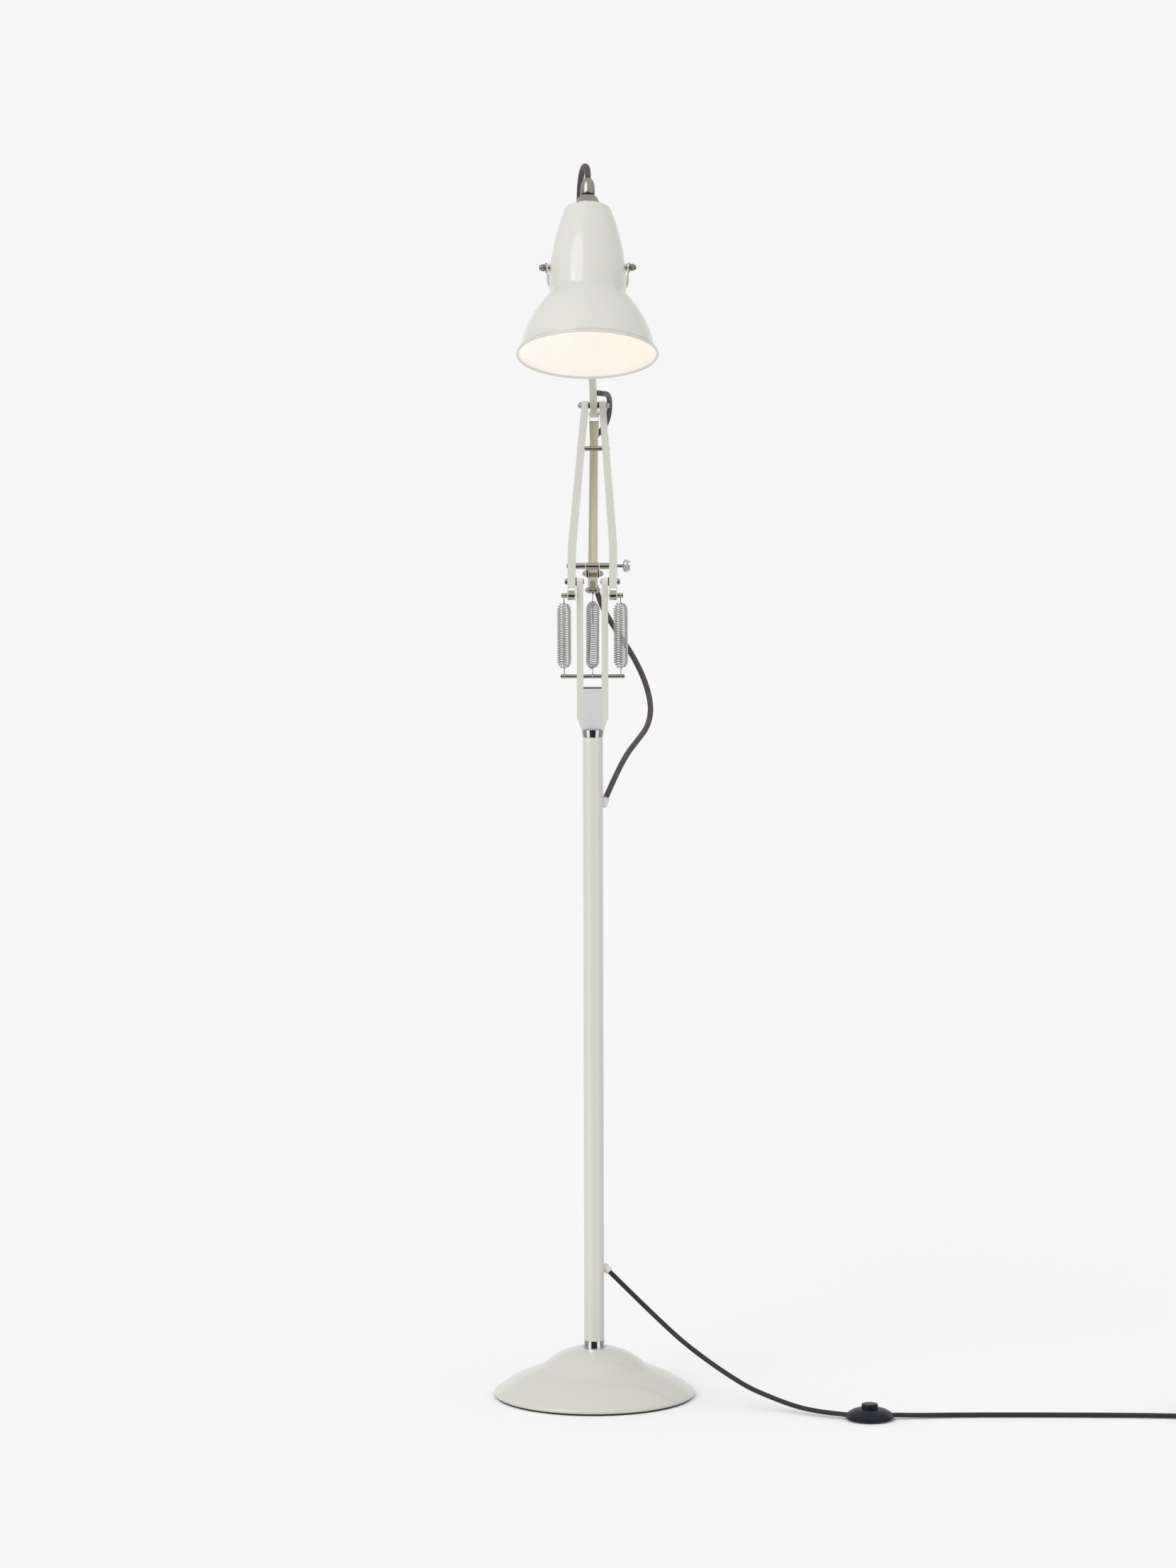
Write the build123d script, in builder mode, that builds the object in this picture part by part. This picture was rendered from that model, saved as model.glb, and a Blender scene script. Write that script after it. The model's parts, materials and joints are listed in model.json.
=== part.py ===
"""Adjustable arm floor lamp: weighted base, stem, sprung parallel-motion arms and a bell shade.

Millimetres, +Z up. The origin is the centre of the base's underside. The lamp's front is -Y.
"""
from build123d import *
from math import pi, radians, sin, cos, tan
import os

os.makedirs("parts", exist_ok=True)

# ---------------------------------------------------------------- driving dimensions
fixed_gap = 0.05        # radial gap between pieces of one body
running_gap = 0.06      # radial gap of a pin that turns in its hole
air_gap = 0.3           # gap between faces that slide past each other

base_radius = 129.6
base_crease_radius = 70.0
base_crease_height = 36.5
base_top_height = 62.4
base_lip_height = 5.6
base_wall = 2.0
pad_radius = 127.0
pad_thickness = 2.3
weight_thickness = 10.0
weight_hub_radius = 22.0

stem_radius = 13.0
stem_wall = 1.5
stem_foot = 12.0
stem_top = 862.6
collar_height = 9.4
collar_flare = 1.7
plug_flange_radius = 17.0
plug_flange_thickness = 5.0
plug_length = 36.0

fork_width = 40.2
fork_leg_width = 8.3
fork_depth = 14.0
fork_foot = 863.1
fork_top = 1057.3
fork_chamfer_height = 15.0
fork_chamfer_width = 5.6
fork_top_fillet = 4.0
bridge_height = 54.0
bridge_recess = 1.25
plate_thickness = 1.15
plate_rise = 2.0
spindle_radius = 8.0
spindle_neck_radius = 5.0
spindle_length = 58.0
spindle_neck_length = 14.0

pivot_height = 1052.7
pivot_bolt_radius = 2.5
pivot_head_radius = 4.0
pivot_washer_radius = 5.5
arm_lean = 35.0
arm_length = 283.0
arm_offset = 26.6
arm_offset_top = 11.5
arm_width = 10.3
arm_width_top = 8.6
arm_bend = 52.0
arm_bend_radius = 120.0
arm_wall = 1.1
arm_end_radius = 6.0
web_foot = 13.0

tail_length = 21.3
barrel_radius = 6.15
stud_radius = 2.0
stud_end_radius = 3.0
spring_offset = 36.3
groove_depth = 1.2
groove_width = 1.9

clamp_distance = 24.4
clamp_sleeve_radius = 4.1
clamp_axle_radius = 2.2
knob_radius = 8.65
knob_thickness = 9.6
knob_start = 38.9
spacer_distance = 212.0
spacer_radius = 3.3
elbow_axle_radius = 3.0
elbow_washer_radius = 4.25
elbow_nut_length = 5.0
elbow_nut_width = 8.4

rocker_length = 37.0
cheek_offset = 8.2
cheek_thickness = 0.9
cheek_width = 9.6
bush_radius = 4.6
rocker_pin_radius = 2.0
rocker_washer_radius = 5.15
rocker_nut_length = 4.6
rocker_nut_width = 7.4

link_width = 12.4
link_width_top = 10.8
link_clevis_width = 12.6
link_depth = 9.0
link_wall = 0.8
link_pin_radius = 1.6
link_slot_width = 7.0
hook_pin_drop = 25.9
hook_pin_radius = 1.6
hook_spool_radius = 3.2
hook_nut_width = 6.4

tube_width = 10.0
tube_wall = 1.1
tube_corner = 1.4
socket_length = 12.0
cable_hole_radius = 3.0
hub_gap = 14.0

spring_bar_height = 931.4
spring_bar_radius = 2.65
spring_bar_length = 82.4
spring_radius = 9.5
centre_spring_radius = 9.0
spring_wire = 1.6
hook_low = 10.5
hook_high = 9.5
centre_hook_high = 16.5
spring_taper = 9.0

shade_pivot_forward = 320.0
shade_pivot_height = 1428.5
shade_tilt = 16.5
shade_pivot_from_rim = 111.0
shade_rim_radius = 83.8
shade_bell_radius = 80.5
shade_bell_start = 8.0
shade_neck_radius = 45.6
shade_neck_from_rim = 76.0
shade_shoulder_radius = 29.8
shade_length = 189.0
shade_wall = 1.2
shade_bead_radius = 1.6
shade_shoulder_fillet = 7.0
cap_flange_radius = 16.7
cap_flange_height = 8.0
holder_neck_radius = 11.9
holder_neck_height = 17.0
holder_radius = 19.0
holder_depth = 48.0
holder_bore = 14.2
grip_radius = 8.5
grip_tip_radius = 4.9
grip_length = 18.5
bulb_radius = 30.0
bulb_wall = 1.0
bulb_cap_radius = 13.2

yoke_reach = 72.0
yoke_slope = 24.4
yoke_width = 12.0
yoke_thickness = 1.8
yoke_inner = 47.2
shade_bolt_radius = 2.4
yoke_boss_radius = 5.0
yoke_spindle_radius = 2.5

cable_radius = 3.6
lead_radius = 3.1
grommet_wall = 1.9
grommet_length = 5.0

switch_x = 348.5
switch_y = -144.2
switch_radius = 30.8
switch_rim_height = 5.0
switch_dome_height = 14.0
switch_base_thickness = 2.0
switch_wall = 2.0
switch_button_radius = 10.4
switch_button_top = 20.0
switch_cord_height = 5.3

coil_x = 800.0
coil_inner_radius = 24.7
coil_outer_radius = 43.3
coil_height = 17.0
plug_body_length = 34.0
plug_body_width = 26.0
plug_body_height = 13.0
plug_pin_radius = 2.0
plug_pin_spacing = 19.0
plug_pin_length = 18.5

# ---------------------------------------------------------------- frames worked out from them
lean = radians(arm_lean)
lower_frame = Plane(origin=(0, 0, pivot_height), x_dir=(1, 0, 0), z_dir=(0, sin(lean), cos(lean)))
main_pivot = lower_frame.origin
elbow = lower_frame.from_local_coords((0, 0, arm_length))
clamp_pivot = lower_frame.from_local_coords((0, 0, clamp_distance))
stud_centre = lower_frame.from_local_coords((0, 0, -tail_length))
spacer_point = lower_frame.from_local_coords((0, 0, spacer_distance))

tilt = radians(shade_tilt)
shade_axis = Vector(0, sin(tilt), cos(tilt))
shade_pivot = Vector(0, -shade_pivot_forward, shade_pivot_height)
shade_frame = Plane(origin=shade_pivot - shade_axis * shade_pivot_from_rim, x_dir=(1, 0, 0), z_dir=shade_axis)

slope = radians(yoke_slope)
yoke_frame = Plane(origin=shade_pivot, x_dir=(1, 0, 0), z_dir=(0, sin(slope), cos(slope)))
hub = yoke_frame.from_local_coords((0, yoke_reach, 0))
rise = (hub - elbow).normalized()
upper_length = (hub - elbow).length
upper_frame = Plane(origin=elbow, x_dir=(1, 0, 0), z_dir=rise)

link_pivot = elbow - rise * rocker_length
rocker_pivot = clamp_pivot - rise * rocker_length
rocker_frame = Plane(origin=clamp_pivot, x_dir=(1, 0, 0), z_dir=-rise)
link_frame = Plane(origin=rocker_pivot, x_dir=(1, 0, 0), z_dir=lower_frame.z_dir)
link_length = arm_length - clamp_distance
hook_pin = link_frame.from_local_coords((0, 0, -hook_pin_drop))
bar_centre = Vector(0, 0, spring_bar_height)

fork_half = fork_width / 2
fork_inner = fork_half - fork_leg_width
arm_inner_face = arm_offset - arm_width / 2
arm_outer_face = arm_offset + arm_width / 2
elbow_inner_face = arm_offset_top - arm_width_top / 2
elbow_outer_face = arm_offset_top + arm_width_top / 2


# ---------------------------------------------------------------- shared ways of making pieces
def cross_plane(point):
    """Plane through a point with x along the pivot direction X and y along Z."""
    return Plane(origin=(0, point.Y, point.Z), x_dir=(1, 0, 0), z_dir=(0, -1, 0))


def end_plane(point, x, outward=1):
    """Plane across the X direction at a distance x, facing outward."""
    return Plane(origin=(x, point.Y, point.Z), x_dir=(0, outward, 0), z_dir=(outward, 0, 0))


def half_plane(frame):
    """Front view of a frame: x is across it, or the radius of a turned piece, and y is along its axis."""
    return Plane(origin=frame.origin, x_dir=frame.x_dir, z_dir=-frame.y_dir)


def side_plane(frame):
    """Side view of a frame: x is the frame's y, y is along the frame."""
    return Plane(origin=frame.origin, x_dir=frame.y_dir, z_dir=frame.x_dir)


def across_axis(point):
    """Axis along X through a point."""
    return Axis((0, point.Y, point.Z), (1, 0, 0))


def turned(plane, axis, outline, both_sides=False):
    """Piece turned about an axis that lies in the outline's plane."""
    with BuildPart() as piece:
        with BuildSketch(plane):
            with BuildLine():
                Polyline(*outline, close=True)
            make_face()
        revolve(axis=axis)
        if both_sides:
            mirror(about=Plane.YZ)
    return piece


def turned_across(point, outline, both_sides=False):
    """Piece turned about the X line through a point. The outline is (x, radius) points."""
    return turned(cross_plane(point), across_axis(point), outline, both_sides)


def turned_along(frame, outline):
    """Piece turned about a frame's z axis. The outline is (radius, distance) points."""
    return turned(half_plane(frame), Axis(frame.origin, frame.z_dir), outline)


def ring(point, start, end, outer, bore, both_sides=False):
    """Washer, sleeve or bush along X."""
    return turned_across(point, [(start, bore), (start, outer), (end, outer), (end, bore)], both_sides)


def shaft(point, start, end, radius, both_sides=False):
    """Plain round bar along X."""
    return turned_across(point, [(start, 0), (start, radius), (end, radius), (end, 0)], both_sides)


def dome_nuts(point, start, length, width, bore_radius, bore_depth):
    """Hexagon nuts with tapered closed ends on both sides, with blind bores for the pin's ends."""
    across = width / 2
    collar = length * 0.55
    with BuildPart() as nuts:
        with BuildSketch(end_plane(point, start)):
            RegularPolygon(across, 6, major_radius=False)
        extrude(amount=collar)
        with BuildSketch(cross_plane(point)):
            with BuildLine():
                Polyline(
                    (start + collar, 0),
                    (start + collar, across * 0.95),
                    (start + length * 0.85, across * 0.7),
                    (start + length, across * 0.25),
                    (start + length, 0),
                    close=True,
                )
            make_face()
        revolve(axis=across_axis(point))
        with BuildSketch(end_plane(point, start)):
            Circle(bore_radius)
        extrude(amount=bore_depth, mode=Mode.SUBTRACT)
        mirror(about=Plane.YZ)
    return nuts


def drill_across(point, radius, reach):
    """Round hole along X through everything within reach of the middle plane."""
    with BuildSketch(end_plane(point, -reach)) as hole:
        Circle(radius)
    extrude(hole.sketch, amount=2 * reach, mode=Mode.SUBTRACT)


def cord_tube(name, route, radius):
    """Round cord whose straight runs are joined by arcs as large as the runs allow."""
    points = [Vector(point) for point in route]
    radii = []
    for before, here, after in zip(points, points[1:], points[2:]):
        run_in = here - before
        run_out = after - here
        turn = radians(run_in.get_angle(run_out))
        radii.append(0.45 * min(run_in.length, run_out.length) / tan(turn / 2))
    with BuildPart() as tube:
        with BuildLine() as path:
            FilletPolyline(*points, radius=radii)
        wire = path.wire()
        with BuildSketch(Plane(origin=wire @ 0, z_dir=wire % 0)):
            Circle(radius)
        sweep(path=wire)
    fullness = tube.part.volume / (pi * radius**2 * wire.length)
    print(f"{name}: {wire.length:.0f} mm, arcs {min(radii):.0f} to {max(radii):.0f} mm, fullness {fullness:.3f}")
    return tube


def save(name, piece):
    """Label a finished piece and write its STEP file."""
    piece.part.label = name
    export_step(piece.part, f"parts/{name}.step")


# ---------------------------------------------------------------- cord routes
cable_offset = link_depth / 2 + cable_radius + fixed_gap
link_cable_length = link_length - 48
cable_low = link_frame.from_local_coords((0, cable_offset, 0))
head_exit = shade_frame.from_local_coords((0, 0, shade_length + holder_neck_height + grip_length))
top_entry = upper_length - hub_gap - socket_length - 7
side_exit = 52
arm_face = tube_width / 2 + 2 * fixed_gap
head_route = [
    head_exit,
    (0, -284, 1549),
    (-4, -271, 1555),
    (-8, -254, 1549),
    (-11, -239, 1529),
    (-11, -229, 1502),
    (-8, -221, 1472),
    (-3, -216, 1443),
    upper_frame.from_local_coords((0, arm_face + 24, top_entry)),
    upper_frame.from_local_coords((0, arm_face, top_entry)),
]
elbow_route = [
    upper_frame.from_local_coords((arm_face + cable_radius, 0, side_exit)),
    (12.5, 123, 1298),
    (17, 138, 1298.5),
    (20, 156, 1296),
    (21, 173, 1289),
    (20.5, 186, 1277),
    (17, 193, 1263.5),
    (10, 194, 1252.5),
    (3, 189.5, 1246),
    link_frame.from_local_coords((0, cable_offset, link_cable_length + 14)),
    link_frame.from_local_coords((0, cable_offset, link_cable_length + fixed_gap)),
]
lower_route = [
    link_frame.from_local_coords((0, cable_offset, -1.3)),
    (5, 47, 1040),
    (12, 41, 1020),
    (24, 37, 999),
    (40, 36, 975),
    (56, 34, 949),
    (69, 30, 920),
    (75.5, 27, 890),
    (71, 24, 866),
    (58, 21, 849),
    (43, 17.5, 830),
    (27, 12, 799),
    (11.8, 5.5, 764),
]
lead_route = [
    (11.8, 5.5, 168),
    (61, 0, 120),
    (100, -18, 86),
    (121, -30, 70),
    (146, -41, 53),
    (172, -57, 38),
    (198, -74, 25),
    (222, -86, 17),
    (243, -98, 11),
    (264, -112, 7),
    (291, -131, 5.7),
    (322, -143.5, switch_cord_height),
]
after_switch_route = [
    (375, -144.6, switch_cord_height),
    (403, -141, 4.2),
    (436, -135.5, 3.3),
    (480, -133, 3.12),
    (540, -132.4, 3.1),
    (610, -132.9, 3.1),
    (690, -132.4, 3.1),
    (coil_x - 24, -132.2, 3.1),
]
coil_mean_radius = (coil_inner_radius + coil_outer_radius) / 2
coil_y = after_switch_route[-1][1] + coil_mean_radius
tail_x = coil_x + coil_mean_radius
plug_y = coil_y + 118
tail_route = [
    (tail_x, coil_y + 24, 3.1),
    (tail_x + 1, coil_y + 52, 3.1),
    (tail_x + 1.5, coil_y + 80, 4.4),
    (tail_x + 1, plug_y, plug_body_height / 2),
]

# ---------------------------------------------------------------- base
shell_bore = stem_radius + fixed_gap
boss_edge = stem_radius + 6


def dished_surface(drop, rim_radius, crease_radius):
    """Upper surface of the base, from the boss to the rim: a swept cone, a crease and a dish."""
    top = base_top_height - drop
    Line((shell_bore, top), (boss_edge, top))
    ThreePointArc((boss_edge, top), (46 - 0.4 * drop, 54.6 - drop), (crease_radius, base_crease_height - drop))
    ThreePointArc((crease_radius, base_crease_height - drop), (100, 25 - drop), (rim_radius, base_lip_height))


with BuildPart() as base_shell:
    with BuildSketch(Plane.XZ):
        with BuildLine():
            inner_rim = base_radius - base_wall
            dished_surface(0, base_radius, base_crease_radius)
            Line((base_radius, base_lip_height), (base_radius, pad_thickness + 1))
            Line((base_radius, pad_thickness + 1), (base_radius - 1, pad_thickness))
            Line((base_radius - 1, pad_thickness), (inner_rim, pad_thickness))
            Line((inner_rim, pad_thickness), (inner_rim, base_lip_height))
            dished_surface(base_wall, inner_rim, base_crease_radius - 0.5)
            Line((shell_bore, base_top_height - base_wall), (shell_bore, base_top_height))
        make_face()
    revolve(axis=Axis.Z)

with BuildPart() as base_pad:
    with BuildSketch():
        Circle(pad_radius)
    extrude(amount=pad_thickness)

weight_rim = base_radius - 12
weight_step = base_crease_radius - 14
weight_seat = pad_thickness + plug_flange_thickness
with BuildPart() as base_weight:
    with BuildSketch(Plane.XZ):
        with BuildLine():
            Polyline(
                (shell_bore, weight_seat),
                (plug_flange_radius + fixed_gap, weight_seat),
                (plug_flange_radius + fixed_gap, pad_thickness),
                (weight_rim, pad_thickness),
                (weight_rim, pad_thickness + 4),
                (weight_rim - 14, pad_thickness + weight_thickness),
                (weight_step + 6, pad_thickness + weight_thickness),
                (weight_step, base_crease_height),
                (weight_hub_radius, base_crease_height + 12),
                (weight_hub_radius, base_top_height - base_wall - 2),
                (boss_edge - 1, base_top_height - base_wall),
                (shell_bore, base_top_height - base_wall),
                close=True,
            )
        make_face()
    revolve(axis=Axis.Z)

with BuildPart() as base_collar:
    with BuildSketch(Plane.XZ):
        with BuildLine():
            Polyline(
                (shell_bore, base_top_height),
                (stem_radius + 0.9, base_top_height),
                (stem_radius + 0.3, base_top_height + collar_height),
                (shell_bore, base_top_height + collar_height),
                close=True,
            )
        make_face()
    revolve(axis=Axis.Z)

# ---------------------------------------------------------------- stem
stem_bore = stem_radius - stem_wall
cord_entries = [
    (Plane(origin=lower_route[-1], z_dir=Vector(lower_route[-2]) - Vector(lower_route[-1])), cable_radius),
    (Plane(origin=lead_route[0], z_dir=Vector(lead_route[1]) - Vector(lead_route[0])), lead_radius),
]

with BuildPart() as stem_tube:
    with BuildSketch(Plane.XY.offset(stem_foot)):
        Circle(stem_radius)
        Circle(stem_bore, mode=Mode.SUBTRACT)
    extrude(amount=stem_top - stem_foot)
    for entry, radius in cord_entries:
        with BuildSketch(entry.offset(-2)):
            Circle(radius + 0.4)
        extrude(amount=30, mode=Mode.SUBTRACT)

# plug screwed into the stem's foot, whose flange carries the weight
with BuildPart() as stem_plug:
    with BuildSketch(Plane.XY.offset(pad_thickness + fixed_gap)):
        Circle(plug_flange_radius)
    extrude(amount=plug_flange_thickness - 2 * fixed_gap)
    with BuildSketch(Plane.XY.offset(pad_thickness + fixed_gap)):
        Circle(stem_bore - fixed_gap)
    extrude(amount=plug_length)
    with BuildSketch(Plane.XY.offset(pad_thickness + fixed_gap)):
        RegularPolygon(6, 6)
    extrude(amount=8, mode=Mode.SUBTRACT)

with BuildPart() as stem_collar:
    with BuildSketch(Plane.XZ):
        with BuildLine():
            Polyline(
                (shell_bore, stem_top - collar_height),
                (stem_radius + 0.3, stem_top - collar_height),
                (stem_radius + collar_flare, stem_top),
                (shell_bore, stem_top),
                close=True,
            )
        make_face()
    revolve(axis=Axis.Z)

with BuildPart() as stem_bush:
    with BuildSketch(Plane.XY.offset(stem_top - spindle_length - 2)):
        Circle(stem_bore - fixed_gap)
        Circle(spindle_radius + running_gap, mode=Mode.SUBTRACT)
    extrude(amount=spindle_length + 2)

# rubber grommets that follow each cord's direction and seat on the stem's round wall
with BuildPart() as stem_grommets:
    for entry, radius in cord_entries:
        with BuildSketch(entry):
            Circle(radius + grommet_wall)
        extrude(amount=grommet_length + 2 * radius)
    with BuildSketch(Plane.XY.offset(stem_foot)):
        Circle(shell_bore)
    extrude(amount=stem_top - stem_foot, mode=Mode.SUBTRACT)
    for entry, radius in cord_entries:
        with BuildSketch(entry.offset(-2)):
            Circle(radius + fixed_gap)
        extrude(amount=40, mode=Mode.SUBTRACT)

# ---------------------------------------------------------------- fork
with BuildPart() as fork:
    with BuildSketch(Plane.XZ.offset(-fork_depth / 2)):
        with BuildLine():
            Polyline(
                (0, fork_foot),
                (fork_half - fork_chamfer_width, fork_foot),
                (fork_half, fork_foot + fork_chamfer_height),
                (fork_half, fork_top),
                (fork_inner, fork_top),
                (fork_inner, fork_foot + bridge_height),
                (0, fork_foot + bridge_height),
                close=True,
            )
        make_face()
        mirror(about=Plane.YZ)
    extrude(amount=fork_depth)
    # leg ends rounded in side view
    fillet(fork.edges().filter_by(Axis.X).group_by(Axis.Z)[-1], fork_top_fillet)
    # bridge set back behind both faces of the legs
    for face in (-1, 1):
        with BuildSketch(Plane.XZ.offset(face * fork_depth / 2)):
            with Locations((0, fork_foot + bridge_height / 2)):
                Rectangle(2 * fork_inner, bridge_height)
        extrude(amount=-face * bridge_recess, mode=Mode.SUBTRACT)
    # seat of the spindle's neck
    with BuildSketch(Plane.XY.offset(fork_foot - 1)):
        Circle(spindle_neck_radius + fixed_gap)
    extrude(amount=spindle_neck_length + 1 + fixed_gap, mode=Mode.SUBTRACT)
    drill_across(bar_centre, spring_bar_radius + fixed_gap, fork_width)
    drill_across(main_pivot, pivot_bolt_radius + fixed_gap, fork_width)

with BuildPart() as fork_spindle:
    with BuildSketch(Plane.XZ):
        with BuildLine():
            Polyline(
                (0, stem_top - spindle_length),
                (spindle_radius - 1, stem_top - spindle_length),
                (spindle_radius, stem_top - spindle_length + 1),
                (spindle_radius, fork_foot - fixed_gap),
                (spindle_neck_radius, fork_foot - fixed_gap),
                (spindle_neck_radius, fork_foot + spindle_neck_length),
                (0, fork_foot + spindle_neck_length),
                close=True,
            )
        make_face()
    revolve(axis=Axis.Z)

with BuildPart() as name_plate:
    with BuildSketch(Plane.XZ.offset(fork_depth / 2 - fixed_gap)):
        with Locations((0, fork_foot + (bridge_height + plate_rise) / 2)):
            Rectangle(2 * (fork_inner - fixed_gap), bridge_height + plate_rise)
    extrude(amount=-plate_thickness)

bar_groove = spring_bar_radius - groove_depth * 0.7
bar_half = spring_bar_length / 2
groove_start = spring_offset - groove_width / 2
groove_stop = spring_offset + groove_width / 2
spring_bar = turned_across(
    bar_centre,
    [
        (0, 0),
        (0, bar_groove),
        (groove_width / 2, bar_groove),
        (groove_width / 2, spring_bar_radius),
        (groove_start, spring_bar_radius),
        (groove_start, bar_groove),
        (groove_stop, bar_groove),
        (groove_stop, spring_bar_radius),
        (bar_half - 1, spring_bar_radius),
        (bar_half, spring_bar_radius - 1),
        (bar_half, 0),
    ],
    both_sides=True,
)

main_pivot_bolts = turned_across(
    main_pivot,
    [
        (fork_inner - 1.2, 0),
        (fork_inner - 1.2, pivot_bolt_radius + 1),
        (fork_inner - fixed_gap, pivot_bolt_radius + 1),
        (fork_inner - fixed_gap, pivot_bolt_radius),
        (arm_outer_face + fixed_gap, pivot_bolt_radius),
        (arm_outer_face + fixed_gap, pivot_head_radius),
        (arm_outer_face + 2.6, pivot_head_radius),
        (arm_outer_face + 3.6, pivot_head_radius - 1),
        (arm_outer_face + 3.6, 0),
    ],
    both_sides=True,
)
main_pivot_washers = ring(
    main_pivot,
    fork_half + fixed_gap,
    arm_inner_face - 2 * fixed_gap,
    pivot_washer_radius,
    pivot_bolt_radius + fixed_gap,
    both_sides=True,
)


# ---------------------------------------------------------------- springs
def spring_body(foot, head, radius, low, high, foot_groove, head_groove):
    """Closed body of a coil spring: tapered ends, straight shanks and an eye round each groove."""
    frame = Plane(origin=foot, x_dir=(1, 0, 0), z_dir=head - foot)
    length = (head - foot).length
    wire = spring_wire / 2
    low_eye = foot_groove + fixed_gap + wire
    high_eye = head_groove + fixed_gap + wire
    with BuildSketch(half_plane(frame)) as profile:
        with BuildLine():
            Polyline(
                (0, low_eye - wire / 2),
                (wire * 0.9, low_eye - wire / 2),
                (wire * 0.9, low),
                (radius * 0.45, low),
                (radius, low + spring_taper),
                (radius, length - high - spring_taper),
                (radius * 0.45, length - high),
                (wire * 0.9, length - high),
                (wire * 0.9, length - high_eye + wire / 2),
                (0, length - high_eye + wire / 2),
                close=True,
            )
        make_face()
    revolve(profile.sketch, axis=Axis(frame.origin, frame.z_dir))
    for centre, eye in ((foot, -low_eye), (head, high_eye)):
        with BuildSketch(cross_plane(centre)) as section:
            with Locations((centre.X, eye)):
                Circle(wire)
        revolve(section.sketch, axis=Axis(centre, (1, 0, 0)))


stud_groove = stud_end_radius - groove_depth
with BuildPart() as outer_springs:
    spring_body(
        Vector(spring_offset, 0, spring_bar_height),
        Vector(spring_offset, stud_centre.Y, stud_centre.Z),
        spring_radius,
        hook_low,
        hook_high,
        bar_groove,
        stud_groove,
    )
    mirror(about=Plane.YZ)

with BuildPart() as centre_spring:
    spring_body(
        bar_centre, hook_pin, centre_spring_radius, hook_low, centre_hook_high, bar_groove, hook_pin_radius
    )


# ---------------------------------------------------------------- lower arms
def arm_outline(inset):
    """Front outline of the right arm: straight beside the fork, then drawn in to the elbow."""
    foot = -tail_length - arm_end_radius
    run = arm_length - arm_bend
    overrun = (run + arm_end_radius) / run
    inner_end = arm_inner_face - (arm_inner_face - elbow_inner_face) * overrun
    outer_end = arm_outer_face - (arm_outer_face - elbow_outer_face) * overrun
    top = arm_length + arm_end_radius
    with BuildLine() as outline:
        FilletPolyline(
            (arm_outer_face - inset, foot),
            (arm_outer_face - inset, arm_bend),
            (outer_end - inset, top),
            radius=arm_bend_radius,
        )
        Line((outer_end - inset, top), (inner_end + inset, top))
        FilletPolyline(
            (inner_end + inset, top),
            (arm_inner_face + inset, arm_bend),
            (arm_inner_face + inset, foot),
            radius=arm_bend_radius,
        )
        Line((arm_inner_face + inset, foot), (arm_outer_face - inset, foot))
    make_face(outline.edges())


with BuildPart() as lower_arm_right:
    with BuildSketch(half_plane(lower_frame).offset(-arm_end_radius)):
        arm_outline(0)
    extrude(amount=2 * arm_end_radius)
    # open back: only the front web and the two flanges stay
    with BuildSketch(half_plane(lower_frame).offset(-arm_end_radius)):
        arm_outline(arm_wall)
    extrude(amount=2 * arm_end_radius - arm_wall, mode=Mode.SUBTRACT)
    # the web stops above the spring barrel
    with BuildSketch(half_plane(lower_frame).offset(-arm_end_radius)):
        with Locations((arm_offset, -web_foot - tail_length / 2)):
            Rectangle(arm_width - 2 * arm_wall, tail_length)
    extrude(amount=2 * arm_end_radius, mode=Mode.SUBTRACT)
    # rounded ends in side view
    with BuildSketch(side_plane(lower_frame)):
        with Locations((0, (arm_length - tail_length) / 2)):
            SlotCenterToCenter(arm_length + tail_length, 2 * arm_end_radius, rotation=90)
    extrude(amount=arm_outer_face + 1, mode=Mode.INTERSECT)
    drill_across(main_pivot, pivot_bolt_radius + running_gap, fork_width)
    drill_across(stud_centre, stud_radius + fixed_gap, fork_width)
    drill_across(clamp_pivot, clamp_axle_radius + fixed_gap, fork_width)
    drill_across(spacer_point, stud_radius + fixed_gap, fork_width)
    drill_across(elbow, elbow_axle_radius + fixed_gap, fork_width)

with BuildPart() as lower_arm_left:
    add(lower_arm_right.part.mirror(Plane.YZ))

spring_barrels = ring(
    stud_centre,
    arm_inner_face + arm_wall + fixed_gap,
    arm_outer_face - arm_wall - fixed_gap,
    barrel_radius,
    stud_radius + fixed_gap,
    both_sides=True,
)
stud_tip = groove_stop + 2.3
spring_studs = turned_across(
    stud_centre,
    [
        (arm_inner_face - 0.6, 0),
        (arm_inner_face - 0.6, stud_radius),
        (arm_outer_face + fixed_gap, stud_radius),
        (arm_outer_face + fixed_gap, stud_end_radius),
        (groove_start, stud_end_radius),
        (groove_start, stud_groove),
        (groove_stop, stud_groove),
        (groove_stop, stud_end_radius),
        (stud_tip - 0.6, stud_end_radius),
        (stud_tip, stud_end_radius - 0.6),
        (stud_tip, 0),
    ],
    both_sides=True,
)

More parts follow.
